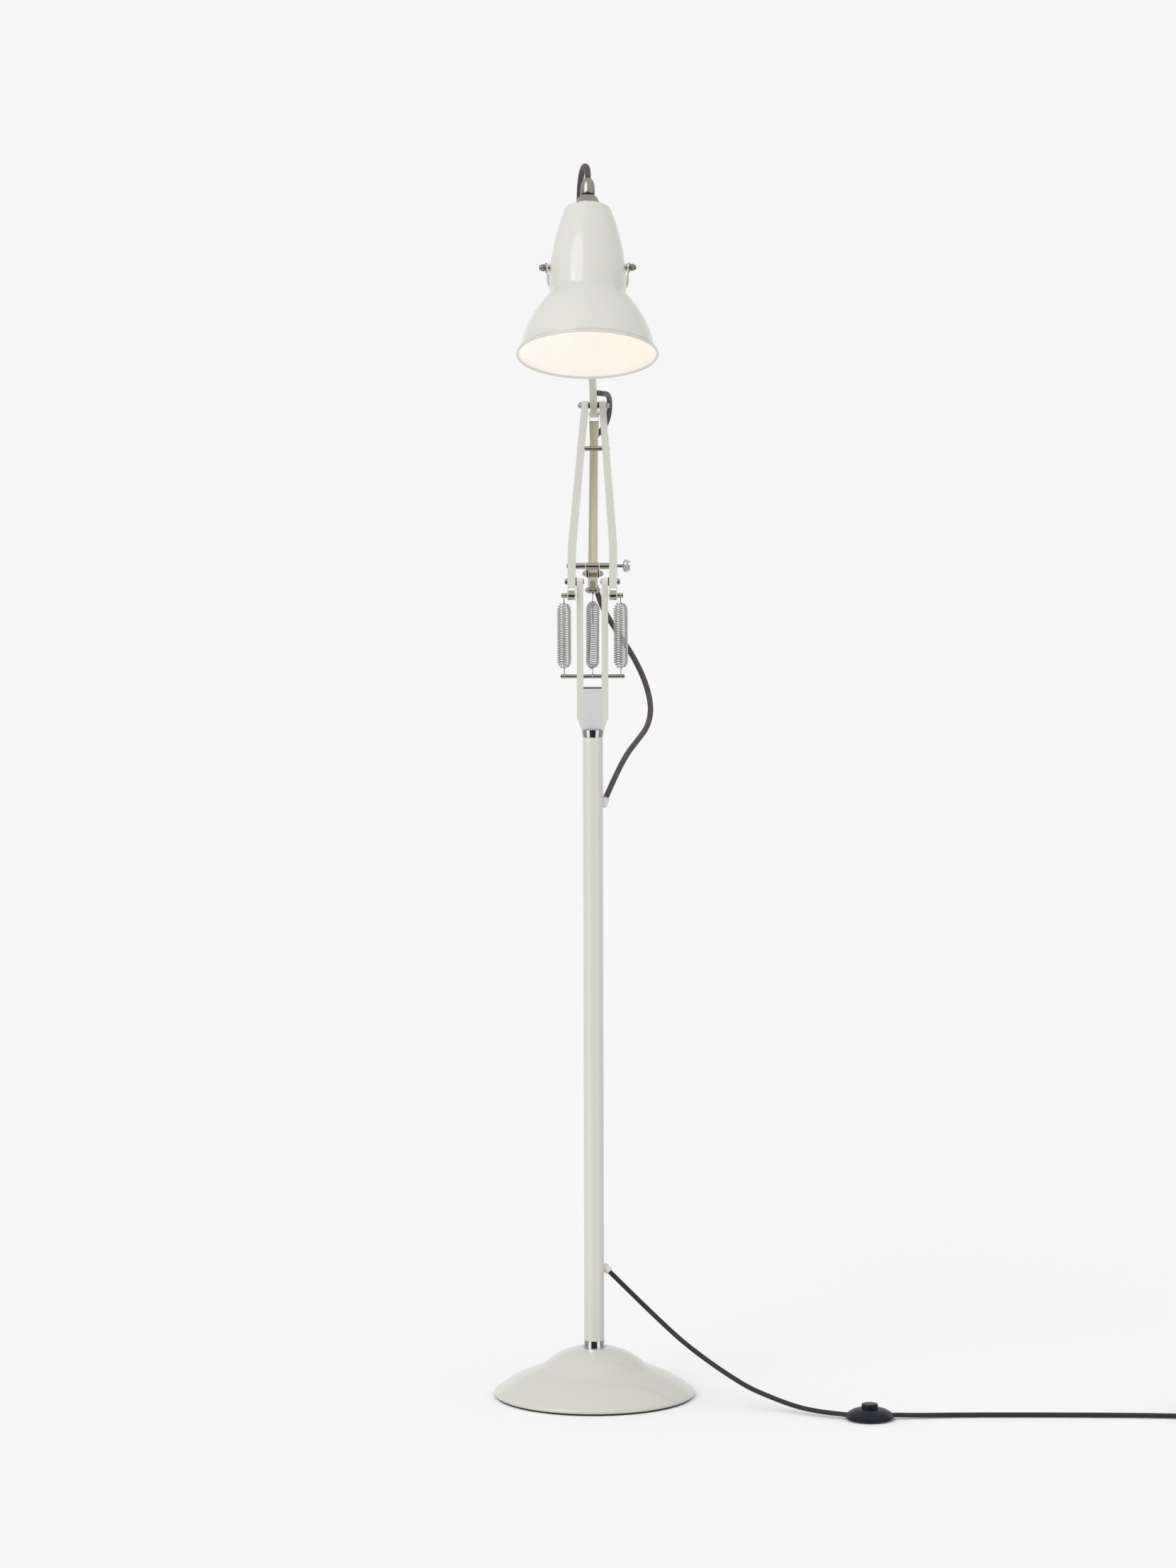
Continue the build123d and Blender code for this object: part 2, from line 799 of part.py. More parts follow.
cheek_end = cheek_offset + cheek_thickness
clamp_sleeves = ring(
    clamp_pivot,
    cheek_end + 2 * fixed_gap,
    arm_inner_face - fixed_gap,
    clamp_sleeve_radius,
    clamp_axle_radius + fixed_gap,
    both_sides=True,
)
axle_end = knob_start + 5
clamp_axle = turned_across(
    clamp_pivot,
    [
        (-arm_outer_face - 1.3, 0),
        (-arm_outer_face - 1.3, clamp_axle_radius + 0.8),
        (-arm_outer_face - fixed_gap, clamp_axle_radius + 0.8),
        (-arm_outer_face - fixed_gap, clamp_axle_radius),
        (axle_end, clamp_axle_radius),
        (axle_end, 0),
    ],
)
knob_end = knob_start + knob_thickness
knob_bore = clamp_axle_radius + running_gap
with BuildPart() as clamp_knob:
    with BuildSketch(cross_plane(clamp_pivot)):
        with BuildLine():
            Line((knob_start, knob_bore), (knob_start, knob_radius * 0.55))
            Spline(
                (knob_start, knob_radius * 0.55),
                (knob_start + knob_thickness * 0.2, knob_radius * 0.9),
                (knob_start + knob_thickness * 0.45, knob_radius),
                (knob_start + knob_thickness * 0.72, knob_radius * 0.83),
                (knob_end, 0),
                tangents=((0.3, 1), (0, -1)),
            )
            Line((knob_end, 0), (axle_end + air_gap, 0))
            Line((axle_end + air_gap, 0), (axle_end + air_gap, knob_bore))
            Line((axle_end + air_gap, knob_bore), (knob_start, knob_bore))
        make_face()
    revolve(axis=across_axis(clamp_pivot))

spacer_fraction = (spacer_distance - arm_bend) / (arm_length - arm_bend)
spacer_inner = arm_inner_face + (elbow_inner_face - arm_inner_face) * spacer_fraction
spacer_outer = arm_outer_face + (elbow_outer_face - arm_outer_face) * spacer_fraction
spacer_rod = turned_across(
    spacer_point,
    [
        (0, 0),
        (0, spacer_radius),
        (spacer_inner - 0.7, spacer_radius),
        (spacer_inner - 0.7, stud_radius),
        (spacer_outer + 0.7, stud_radius),
        (spacer_outer + 0.7, 0),
    ],
    both_sides=True,
)
elbow_axle = shaft(elbow, 0, elbow_outer_face + 2.6, elbow_axle_radius, both_sides=True)
arm_slope = (arm_outer_face - elbow_outer_face) / (arm_length - arm_bend)
nut_seat = elbow_outer_face + arm_slope * elbow_nut_width * 0.6 + fixed_gap
elbow_nuts = dome_nuts(
    elbow, nut_seat, elbow_nut_length, elbow_nut_width, elbow_axle_radius + fixed_gap, elbow_nut_length / 2
)
elbow_washers = ring(
    elbow,
    tube_width / 2 + 2 * fixed_gap,
    elbow_inner_face - arm_slope * elbow_washer_radius - fixed_gap,
    elbow_washer_radius,
    elbow_axle_radius + fixed_gap,
    both_sides=True,
)

# ---------------------------------------------------------------- rocker
with BuildPart() as rocker_cheeks:
    with BuildSketch(side_plane(rocker_frame).offset(cheek_offset)):
        with Locations((0, rocker_length / 2)):
            SlotCenterToCenter(rocker_length, cheek_width, rotation=90)
    extrude(amount=cheek_thickness)
    mirror(about=Plane.YZ)
    drill_across(clamp_pivot, bush_radius - 1 + fixed_gap, cheek_end + 1)
    drill_across(rocker_pivot, rocker_pin_radius + fixed_gap, cheek_end + 1)

rocker_bush = turned_across(
    clamp_pivot,
    [
        (0, clamp_axle_radius + running_gap),
        (0, bush_radius),
        (cheek_offset - fixed_gap, bush_radius),
        (cheek_offset - fixed_gap, bush_radius - 1),
        (cheek_end, bush_radius - 1),
        (cheek_end, clamp_axle_radius + running_gap),
    ],
    both_sides=True,
)
rocker_pin = shaft(rocker_pivot, 0, cheek_end + 2.4, rocker_pin_radius, both_sides=True)
rocker_nuts = dome_nuts(
    rocker_pivot, cheek_end + fixed_gap, rocker_nut_length, rocker_nut_width, rocker_pin_radius + fixed_gap, 2.6
)
rocker_washers = ring(
    rocker_pivot,
    link_clevis_width / 2 + 2 * fixed_gap,
    cheek_offset - fixed_gap,
    rocker_washer_radius,
    rocker_pin_radius + fixed_gap,
    both_sides=True,
)

# ---------------------------------------------------------------- link
link_foot = -hook_pin_drop - link_depth / 2
link_tip = link_length + link_depth / 2
flare_start = link_length - 48
flare_end = link_length - 24


def link_outline(inset):
    """Front outline of the link: tapered, with a flared clevis at its top."""
    with BuildLine() as outline:
        Polyline(
            (0, link_foot),
            (link_width / 2 - inset, link_foot),
            (link_width / 2 - inset, 0),
            (link_width_top / 2 - inset, flare_start),
            (link_clevis_width / 2 - inset, flare_end),
            (link_clevis_width / 2 - inset, link_tip),
            (0, link_tip),
            close=True,
        )
    make_face(outline.edges())
    mirror(about=Plane.YZ)


with BuildPart() as tension_link:
    with BuildSketch(half_plane(link_frame).offset(-link_depth / 2)):
        link_outline(0)
    extrude(amount=link_depth)
    # channel open to the front
    with BuildSketch(half_plane(link_frame).offset(-link_depth / 2 + link_wall)):
        link_outline(link_wall)
    extrude(amount=link_depth, mode=Mode.SUBTRACT)
    # the web stops short of the clevis pin so that the arm's tail can turn
    with BuildSketch(half_plane(link_frame).offset(-link_depth / 2)):
        with Locations((0, link_length + 1)):
            Rectangle(link_clevis_width - 2 * link_wall, 20)
    extrude(amount=link_depth, mode=Mode.SUBTRACT)
    # front web at the foot, with an arched slot for the spring's hook
    with BuildSketch(half_plane(link_frame).offset(link_depth / 2)):
        with Locations((0, -hook_pin_drop + 9)):
            Rectangle(link_width - link_wall, 16)
        with Locations((0, -hook_pin_drop + 1)):
            Rectangle(link_slot_width, 16, mode=Mode.SUBTRACT)
        with Locations((0, -hook_pin_drop + 9)):
            Circle(link_slot_width / 2, mode=Mode.SUBTRACT)
    extrude(amount=-link_wall)
    # rounded ends in side view
    with BuildSketch(side_plane(link_frame)):
        with Locations((0, (link_length - hook_pin_drop) / 2)):
            SlotCenterToCenter(link_length + hook_pin_drop, link_depth, rotation=90)
    extrude(amount=link_width, both=True, mode=Mode.INTERSECT)
    drill_across(link_pivot, link_pin_radius + fixed_gap, link_width)
    drill_across(rocker_pivot, rocker_pin_radius + air_gap, link_width)
    drill_across(hook_pin, hook_pin_radius + fixed_gap, link_width)

clevis_face = link_clevis_width / 2
link_pin = turned_across(
    link_pivot,
    [
        (0, 0),
        (0, link_pin_radius),
        (clevis_face + fixed_gap, link_pin_radius),
        (clevis_face + fixed_gap, link_pin_radius + 0.8),
        (clevis_face + 0.8, link_pin_radius + 0.6),
        (clevis_face + 0.8, 0),
    ],
    both_sides=True,
)
spool_end = link_width / 2 - link_wall - fixed_gap
spring_hook_pin = turned_across(
    hook_pin,
    [
        (0, 0),
        (0, hook_pin_radius),
        (groove_width / 2, hook_pin_radius),
        (groove_width / 2, hook_spool_radius),
        (spool_end, hook_spool_radius),
        (spool_end, hook_pin_radius),
        (link_width / 2 + 2.2, hook_pin_radius),
        (link_width / 2 + 2.2, 0),
    ],
    both_sides=True,
)
hook_pin_nuts = dome_nuts(
    hook_pin, link_width / 2 + fixed_gap, 3.7, hook_nut_width, hook_pin_radius + fixed_gap, 2.3
)

# ---------------------------------------------------------------- upper arm
arm_front = upper_length - hub_gap
with BuildPart() as upper_arm:
    with BuildSketch(upper_frame.offset(-rocker_length - tube_width / 2)):
        RectangleRounded(tube_width, tube_width, tube_corner)
        RectangleRounded(tube_width - 2 * tube_wall, tube_width - 2 * tube_wall, 0.4, mode=Mode.SUBTRACT)
    extrude(amount=arm_front + rocker_length + tube_width / 2)
    # tail rounded about the link's pin
    with BuildSketch(side_plane(upper_frame)):
        with Locations((0, -rocker_length)):
            Circle(tube_width / 2)
        with Locations((0, (arm_front - rocker_length) / 2)):
            Rectangle(tube_width, arm_front + rocker_length)
    extrude(amount=tube_width, both=True, mode=Mode.INTERSECT)
    drill_across(elbow, elbow_axle_radius + running_gap, tube_width)
    drill_across(link_pivot, link_pin_radius + running_gap, tube_width)
    # cable holes: top wall behind the yoke, right wall before the elbow
    with BuildSketch(Plane(upper_frame.from_local_coords((0, 0, top_entry)), (1, 0, 0), upper_frame.y_dir)):
        Circle(cable_hole_radius)
    extrude(amount=tube_width, mode=Mode.SUBTRACT)
    with BuildSketch(end_plane(upper_frame.from_local_coords((0, 0, side_exit)), 0)):
        Circle(cable_hole_radius)
    extrude(amount=tube_width, mode=Mode.SUBTRACT)

socket_width = tube_width - 2 * tube_wall - 2 * fixed_gap
with BuildPart() as arm_socket:
    with BuildSketch(upper_frame.offset(arm_front - socket_length)):
        RectangleRounded(socket_width, socket_width, 0.4)
        Circle(yoke_spindle_radius + running_gap, mode=Mode.SUBTRACT)
    extrude(amount=socket_length)

# ---------------------------------------------------------------- yoke
strap_bow = yoke_reach - yoke_inner - yoke_thickness


def strap_outline(side_x, end_y):
    """Half hoop of the strap, from ear to ear."""
    Line((side_x, 0), (side_x, strap_bow))
    ThreePointArc((side_x, strap_bow), (0, end_y), (-side_x, strap_bow))
    Line((-side_x, strap_bow), (-side_x, 0))


with BuildPart() as shade_yoke:
    with BuildSketch(yoke_frame.offset(-yoke_width / 2)):
        with BuildLine():
            strap_outline(yoke_inner + yoke_thickness, yoke_reach)
            Line((-yoke_inner - yoke_thickness, 0), (-yoke_inner - yoke_thickness, -yoke_width / 2))
            Line((-yoke_inner - yoke_thickness, -yoke_width / 2), (-yoke_inner, -yoke_width / 2))
            Line((-yoke_inner, -yoke_width / 2), (-yoke_inner, 0))
            strap_outline(yoke_inner, yoke_reach - yoke_thickness)
            Line((yoke_inner, 0), (yoke_inner, -yoke_width / 2))
            Line((yoke_inner, -yoke_width / 2), (yoke_inner + yoke_thickness, -yoke_width / 2))
            Line((yoke_inner + yoke_thickness, -yoke_width / 2), (yoke_inner + yoke_thickness, 0))
        make_face()
    extrude(amount=yoke_width)
    # ears rounded about the shade's pivot
    with BuildSketch(side_plane(yoke_frame)):
        Circle(yoke_width / 2)
        with Locations((yoke_reach / 2, 0)):
            Rectangle(yoke_reach + 1, yoke_width)
    extrude(amount=yoke_inner + yoke_thickness + 1, both=True, mode=Mode.INTERSECT)
    # boss that turns on the end of the arm
    with BuildSketch(upper_frame.offset(arm_front + air_gap)):
        Circle(yoke_boss_radius)
    extrude(amount=hub_gap - air_gap + yoke_thickness / 2)
    with BuildSketch(upper_frame.offset(arm_front - 1)):
        Circle(yoke_spindle_radius + fixed_gap)
    extrude(amount=hub_gap + 8, mode=Mode.SUBTRACT)
    drill_across(shade_pivot, shade_bolt_radius + running_gap, yoke_inner + yoke_thickness + 2)

head_start = upper_length + yoke_thickness + 3 * air_gap
spindle_foot = arm_front - socket_length
yoke_spindle = turned_along(
    upper_frame,
    [
        (0, spindle_foot),
        (yoke_spindle_radius - 0.5, spindle_foot),
        (yoke_spindle_radius, spindle_foot + 1),
        (yoke_spindle_radius, head_start),
        (yoke_boss_radius, head_start),
        (yoke_boss_radius - 0.8, head_start + 2.4),
        (0, head_start + 2.4),
    ],
)

# ---------------------------------------------------------------- shade
shade_turn = Axis(shade_frame.origin, shade_frame.z_dir)
shoulder_start = shade_length - 9
shoulder_radius = shade_shoulder_radius - shade_shoulder_fillet - 1
hole_radius = holder_neck_radius + fixed_gap


def bell_line(inset):
    """Spun outline: a flaring bell, a crease at the neck, a barrel and a rounded shoulder."""
    neck = (shade_neck_radius - inset, shade_neck_from_rim - inset * 0.6)
    shoulder = (shade_shoulder_radius - inset, shoulder_start)
    top = (shoulder_radius, shade_length - inset)
    ThreePointArc((shade_bell_radius - inset, shade_bell_start), (67.5 - 0.75 * inset, 45 - 0.65 * inset), neck)
    barrel = (shade_neck_radius - 0.6 - inset, 110)
    ThreePointArc(neck, (shade_neck_radius + 0.1 - inset, 93), barrel)
    ThreePointArc(barrel, (40.6 - inset, 141), shoulder)
    ThreePointArc(shoulder, (shade_shoulder_radius - 2.6 - 0.8 * inset, shade_length - 2.8 - 0.8 * inset), top)
    Line(top, (hole_radius, shade_length - inset))


with BuildPart() as shade:
    with BuildSketch(half_plane(shade_frame)):
        with BuildLine():
            bell_line(0)
            Line((hole_radius, shade_length), (hole_radius, shade_length - shade_wall))
            bell_line(shade_wall)
            Line((shade_bell_radius - shade_wall, shade_bell_start), (shade_rim_radius - shade_wall, 1.5))
            Line((shade_rim_radius - shade_wall, 1.5), (shade_rim_radius, 1.5))
            Line((shade_rim_radius, 1.5), (shade_bell_radius, shade_bell_start))
        make_face()
    revolve(axis=shade_turn)
    # rolled bead on the rim
    with BuildSketch(half_plane(shade_frame)):
        with Locations((shade_rim_radius - shade_wall / 2, shade_bead_radius)):
            Circle(shade_bead_radius)
    revolve(axis=shade_turn)
    drill_across(shade_pivot, shade_bolt_radius + fixed_gap, shade_neck_radius + 2)

bolt_inside = shade_neck_radius - shade_wall - 1.1
strap_face = yoke_inner + yoke_thickness
shade_pivot_bolts = turned_across(
    shade_pivot,
    [
        (bolt_inside - 2.2, 0),
        (bolt_inside - 2.2, 3),
        (bolt_inside - 1.4, 4),
        (bolt_inside, 4),
        (bolt_inside, shade_bolt_radius),
        (strap_face + 4, shade_bolt_radius),
        (strap_face + 4, 0),
    ],
    both_sides=True,
)
nut_start = strap_face + air_gap
nut_bore = shade_bolt_radius + fixed_gap
shade_pivot_nuts = turned_across(
    shade_pivot,
    [
        (strap_face + 4 + fixed_gap, 0),
        (strap_face + 4 + fixed_gap, nut_bore),
        (nut_start, nut_bore),
        (nut_start, 5.2),
        (nut_start + 1, 5.2),
        (nut_start + 1, 4.4),
        (nut_start + 5, 4.4),
        (nut_start + 7.5, 3.6),
        (nut_start + 8.9, 1.6),
        (nut_start + 8.9, 0),
    ],
    both_sides=True,
)
shade_pivot_spacers = ring(
    shade_pivot, shade_neck_radius - 0.15, yoke_inner - air_gap, 4.6, nut_bore, both_sides=True
)

holder_seat = shade_length - shade_wall - fixed_gap
holder_top = shade_length + holder_neck_height
contact_height = shade_length - 14
lampholder = turned_along(
    shade_frame,
    [
        (holder_bore, holder_seat - holder_depth),
        (holder_radius - 0.8, holder_seat - holder_depth),
        (holder_radius, holder_seat - holder_depth + 0.8),
        (holder_radius, holder_seat),
        (holder_neck_radius, holder_seat),
        (holder_neck_radius, holder_top),
        (3, holder_top),
        (3, contact_height),
        (holder_bore, contact_height),
    ],
)
lampholder_flange = turned_along(
    shade_frame,
    [
        (hole_radius, shade_length + fixed_gap),
        (cap_flange_radius, shade_length + fixed_gap),
        (cap_flange_radius, shade_length + cap_flange_height - 0.8),
        (cap_flange_radius - 0.8, shade_length + cap_flange_height),
        (hole_radius, shade_length + cap_flange_height),
    ],
)
cord_grip = turned_along(
    shade_frame,
    [
        (cable_radius + fixed_gap, holder_top + fixed_gap),
        (grip_radius, holder_top + fixed_gap),
        (grip_radius, holder_top + 4),
        (grip_tip_radius, holder_top + grip_length),
        (cable_radius + fixed_gap, holder_top + grip_length),
    ],
)

bulb_cap_top = contact_height - air_gap
bulb_cap_foot = bulb_cap_top - 26
glass_top = bulb_cap_foot - fixed_gap
globe_height = bulb_cap_foot - 56


def bulb_line(inset):
    """Half outline of the lamp's glass, from its neck to its crown."""
    Line((bulb_cap_radius - inset, glass_top), (bulb_cap_radius + 0.4 - inset, bulb_cap_foot - 12))
    Spline(
        (bulb_cap_radius + 0.4 - inset, bulb_cap_foot - 12),
        (bulb_radius * 0.74 - inset, bulb_cap_foot - 32),
        (bulb_radius - inset, globe_height),
        (0.7 * (bulb_radius - inset), globe_height - 0.72 * (bulb_radius - inset)),
        (0, globe_height - bulb_radius + inset),
        tangents=((0.12, -1), (-1, 0)),
    )


with BuildPart() as bulb_glass:
    with BuildSketch(half_plane(shade_frame)):
        with BuildLine():
            bulb_line(0)
            Line((0, globe_height - bulb_radius), (0, globe_height - bulb_radius + bulb_wall))
            bulb_line(bulb_wall)
            Line((bulb_cap_radius - bulb_wall, glass_top), (bulb_cap_radius, glass_top))
        make_face()
    revolve(axis=shade_turn)
bulb_cap = turned_along(
    shade_frame,
    [
        (0, bulb_cap_foot),
        (bulb_cap_radius, bulb_cap_foot),
        (bulb_cap_radius, bulb_cap_top - 6),
        (5, bulb_cap_top),
        (0, bulb_cap_top),
    ],
)

# ---------------------------------------------------------------- cords
head_cable = cord_tube("head_cable", head_route, cable_radius)
elbow_cable = cord_tube("elbow_cable", elbow_route, cable_radius)
lower_cable = cord_tube("lower_cable", lower_route, cable_radius)
with BuildPart() as link_cable:
    with BuildSketch(Plane(origin=cable_low, z_dir=link_frame.z_dir)):
        Circle(cable_radius)
    extrude(amount=link_cable_length)

lead_pieces = [
    cord_tube("lead to switch", lead_route, lead_radius),
    cord_tube("lead after switch", after_switch_route, lead_radius),
    cord_tube("lead to plug", tail_route, lead_radius),
]
with BuildPart() as mains_lead:
    for lead_piece in lead_pieces:
        add(lead_piece.part)

with BuildPart() as mains_coil:
    with BuildSketch():
        with Locations((coil_x, coil_y)):
            Circle(coil_outer_radius)
            Circle(coil_inner_radius, mode=Mode.SUBTRACT)
    extrude(amount=coil_height)
    fillet(mains_coil.edges().filter_by(GeomType.CIRCLE), 4)

plug_plane = Plane(origin=(tail_x + 1, plug_y, plug_body_height / 2), x_dir=(1, 0, 0), z_dir=(0, 1, 0))
with BuildPart() as mains_plug:
    with BuildSketch(plug_plane):
        Circle(lead_radius + 2)
    with BuildSketch(plug_plane.offset(plug_body_length * 0.45)):
        SlotOverall(plug_body_width, plug_body_height - 0.4)
    loft()
    with BuildSketch(plug_plane.offset(plug_body_length * 0.45)):
        SlotOverall(plug_body_width, plug_body_height - 0.4)
    extrude(amount=plug_body_length * 0.55)
    with BuildSketch(plug_plane.offset(plug_body_length)):
        with GridLocations(plug_pin_spacing, 1, 2, 1):
            Circle(plug_pin_radius)
    extrude(amount=plug_pin_length)

# ---------------------------------------------------------------- foot switch
switch_frame = Plane(origin=(switch_x, switch_y, 0), x_dir=(1, 0, 0), z_dir=(0, 0, 1))
switch_turn = Axis(switch_frame.origin, (0, 0, 1))
button_hole = switch_button_radius + air_gap
cover_inside = switch_radius - switch_wall - 1
hole_underside = switch_dome_height - switch_wall
with BuildPart() as foot_switch_base:
    with BuildSketch(switch_frame):
        Circle(cover_inside - fixed_gap)
    extrude(amount=switch_base_thickness)

with BuildPart() as foot_switch_cover:
    with BuildSketch(half_plane(switch_frame)):
        with BuildLine():
            Line((cover_inside, 0), (switch_radius - 2.6, 0))
            ThreePointArc(
                (switch_radius - 2.6, 0), (switch_radius - 0.7, 1.8), (switch_radius, switch_rim_height)
            )
            ThreePointArc(
                (switch_radius, switch_rim_height), (switch_radius - 7, 10.6), (button_hole, switch_dome_height)
            )
            Line((button_hole, switch_dome_height), (button_hole, hole_underside))
            ThreePointArc((button_hole, hole_underside), (switch_radius - 9, 9), (cover_inside, switch_rim_height))
            Line((cover_inside, switch_rim_height), (cover_inside, 0))
        make_face()
    revolve(axis=switch_turn)
    for outward in (-1, 1):
        cord_plane = Plane(
            origin=(switch_x, switch_y, switch_cord_height), x_dir=(0, outward, 0), z_dir=(outward, 0, 0)
        )
        with BuildSketch(cord_plane):
            Circle(lead_radius + 1)
        extrude(amount=switch_radius + 5, mode=Mode.SUBTRACT)

button_foot = hole_underside - 2.6
skirt_radius = switch_button_radius + 2
with BuildPart() as foot_switch_button:
    with BuildSketch(half_plane(switch_frame)):
        with BuildLine():
            Polyline(
                (switch_button_radius - 1.5, switch_button_top),
                (0, switch_button_top),
                (0, button_foot),
                (skirt_radius, button_foot),
                (skirt_radius, button_foot + 1.4),
                (switch_button_radius, button_foot + 1.4),
                (switch_button_radius, switch_button_top - 1.5),
            )
            ThreePointArc(
                (switch_button_radius, switch_button_top - 1.5),
                (switch_button_radius - 0.45, switch_button_top - 0.45),
                (switch_button_radius - 1.5, switch_button_top),
            )
        make_face()
    revolve(axis=switch_turn)

# ---------------------------------------------------------------- files
pieces = {
    "base_shell": base_shell,
    "base_pad": base_pad,
    "base_weight": base_weight,
    "base_collar": base_collar,
    "stem_tube": stem_tube,
    "stem_plug": stem_plug,
    "stem_collar": stem_collar,
    "stem_bush": stem_bush,
    "stem_grommets": stem_grommets,
    "fork": fork,
    "fork_spindle": fork_spindle,
    "name_plate": name_plate,
    "spring_bar": spring_bar,
    "main_pivot_bolts": main_pivot_bolts,
    "main_pivot_washers": main_pivot_washers,
    "outer_springs": outer_springs,
    "centre_spring": centre_spring,
    "lower_arm_left": lower_arm_left,
    "lower_arm_right": lower_arm_right,
    "spring_barrels": spring_barrels,
    "spring_studs": spring_studs,
    "clamp_sleeves": clamp_sleeves,
    "clamp_axle": clamp_axle,
    "clamp_knob": clamp_knob,
    "spacer_rod": spacer_rod,
    "elbow_axle": elbow_axle,
    "elbow_nuts": elbow_nuts,
    "elbow_washers": elbow_washers,
    "rocker_cheeks": rocker_cheeks,
    "rocker_bush": rocker_bush,
    "rocker_pin": rocker_pin,
    "rocker_nuts": rocker_nuts,
    "rocker_washers": rocker_washers,
    "tension_link": tension_link,
    "link_pin": link_pin,
    "spring_hook_pin": spring_hook_pin,
    "hook_pin_nuts": hook_pin_nuts,
    "upper_arm": upper_arm,
    "arm_socket": arm_socket,
    "shade_yoke": shade_yoke,
    "yoke_spindle": yoke_spindle,
    "shade": shade,
    "shade_pivot_bolts": shade_pivot_bolts,
    "shade_pivot_nuts": shade_pivot_nuts,
    "shade_pivot_spacers": shade_pivot_spacers,
    "lampholder": lampholder,
    "lampholder_flange": lampholder_flange,
    "cord_grip": cord_grip,
    "bulb_glass": bulb_glass,
    "bulb_cap": bulb_cap,
    "head_cable": head_cable,
    "elbow_cable": elbow_cable,
    "link_cable": link_cable,
    "lower_cable": lower_cable,
    "mains_lead": mains_lead,
    "mains_coil": mains_coil,
    "mains_plug": mains_plug,
    "foot_switch_base": foot_switch_base,
    "foot_switch_cover": foot_switch_cover,
    "foot_switch_button": foot_switch_button,
}
for name, piece in pieces.items():
    save(name, piece)
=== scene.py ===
"""Looks of an adjustable arm floor lamp: finishes, cords, springs, shade and fittings around its frame.

Metres, +Z up, the lamp's front is -Y. Outlines and routes typed as bare numbers are millimetres.
"""
import cmath
import json
import math

import bpy
from mathutils import Matrix, Vector


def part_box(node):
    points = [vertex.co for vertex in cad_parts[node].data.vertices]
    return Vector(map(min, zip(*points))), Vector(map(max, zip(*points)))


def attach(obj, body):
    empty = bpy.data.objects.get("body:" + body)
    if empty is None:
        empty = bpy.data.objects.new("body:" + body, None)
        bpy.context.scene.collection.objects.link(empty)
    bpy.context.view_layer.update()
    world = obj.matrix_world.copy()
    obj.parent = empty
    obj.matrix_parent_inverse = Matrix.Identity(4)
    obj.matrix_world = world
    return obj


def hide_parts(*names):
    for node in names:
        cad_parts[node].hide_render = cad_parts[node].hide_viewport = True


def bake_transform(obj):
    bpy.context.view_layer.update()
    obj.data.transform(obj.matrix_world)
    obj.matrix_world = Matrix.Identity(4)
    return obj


bl_info = {
    "name": "Arm floor lamp looks",
    "version": (1, 0, 0),
    "blender": (4, 5, 0),
    "location": "View3D > Sidebar > Lamp",
    "description": "Dresses an adjustable arm floor lamp with its finishes, cords, springs and shade",
    "category": "Object",
}

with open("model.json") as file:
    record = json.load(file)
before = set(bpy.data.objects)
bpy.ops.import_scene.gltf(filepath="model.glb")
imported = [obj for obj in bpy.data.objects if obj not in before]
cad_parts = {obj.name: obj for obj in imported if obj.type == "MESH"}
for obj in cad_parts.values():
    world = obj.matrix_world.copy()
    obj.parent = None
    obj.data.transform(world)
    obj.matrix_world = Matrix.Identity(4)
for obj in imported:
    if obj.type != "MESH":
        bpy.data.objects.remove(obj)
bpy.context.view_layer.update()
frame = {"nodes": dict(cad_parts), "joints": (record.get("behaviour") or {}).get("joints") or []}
NODES = frame["nodes"]
JOINTS = {joint["name"]: joint for joint in frame["joints"]}
MM = 0.001


# -------- places worked out from the frame
def centre(node):
    """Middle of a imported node's box."""
    low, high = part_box(node)
    return (low + high) / 2


def pivot(joint):
    """A hinge's point."""
    return Vector(JOINTS[joint]["pos_m"])


def placed(origin, across, along):
    """Matrix of a frame with x across it and z along it."""
    z_axis = Vector(along).normalized()
    x_axis = Vector(across).normalized()
    y_axis = z_axis.cross(x_axis)
    turn = Matrix((x_axis, y_axis, z_axis)).transposed()
    return Matrix.Translation(origin) @ turn.to_4x4()


ACROSS = Vector((1, 0, 0))
MAIN_PIVOT = pivot("lower_arm_tilt")
ELBOW = pivot("upper_arm_tilt")
HUB = pivot("yoke_swivel")
SHADE_PIVOT = pivot("shade_tilt")
ROCKER_PIN = centre("rocker_pin")
HOOK_PIN = centre("spring_hook_pin")
BAR = centre("spring_bar")
STUDS = centre("spring_studs")
LOWER_LINE = (ELBOW - MAIN_PIVOT).normalized()
UPPER = placed(ELBOW, ACROSS, HUB - ELBOW)
UPPER_LENGTH = (HUB - ELBOW).length
LINK = placed(ROCKER_PIN, ACROSS, LOWER_LINE)


# -------- sizes and colours
def length_size(name, mm_value, words):
    """A length property, typed in millimetres and held in metres."""
    return bpy.props.FloatProperty(
        name=name, description=words, default=mm_value * MM, unit="LENGTH", precision=5
    )


def number(name, value, words):
    """A plain number property, whole where its default is."""
    kind = bpy.props.IntProperty if isinstance(value, int) else bpy.props.FloatProperty
    return kind(name=name, description=words, default=value)


def colour(name, rgb, words):
    """A colour property."""
    return bpy.props.FloatVectorProperty(
        name=name, description=words, default=rgb, subtype="COLOR", size=3, min=0, max=1
    )


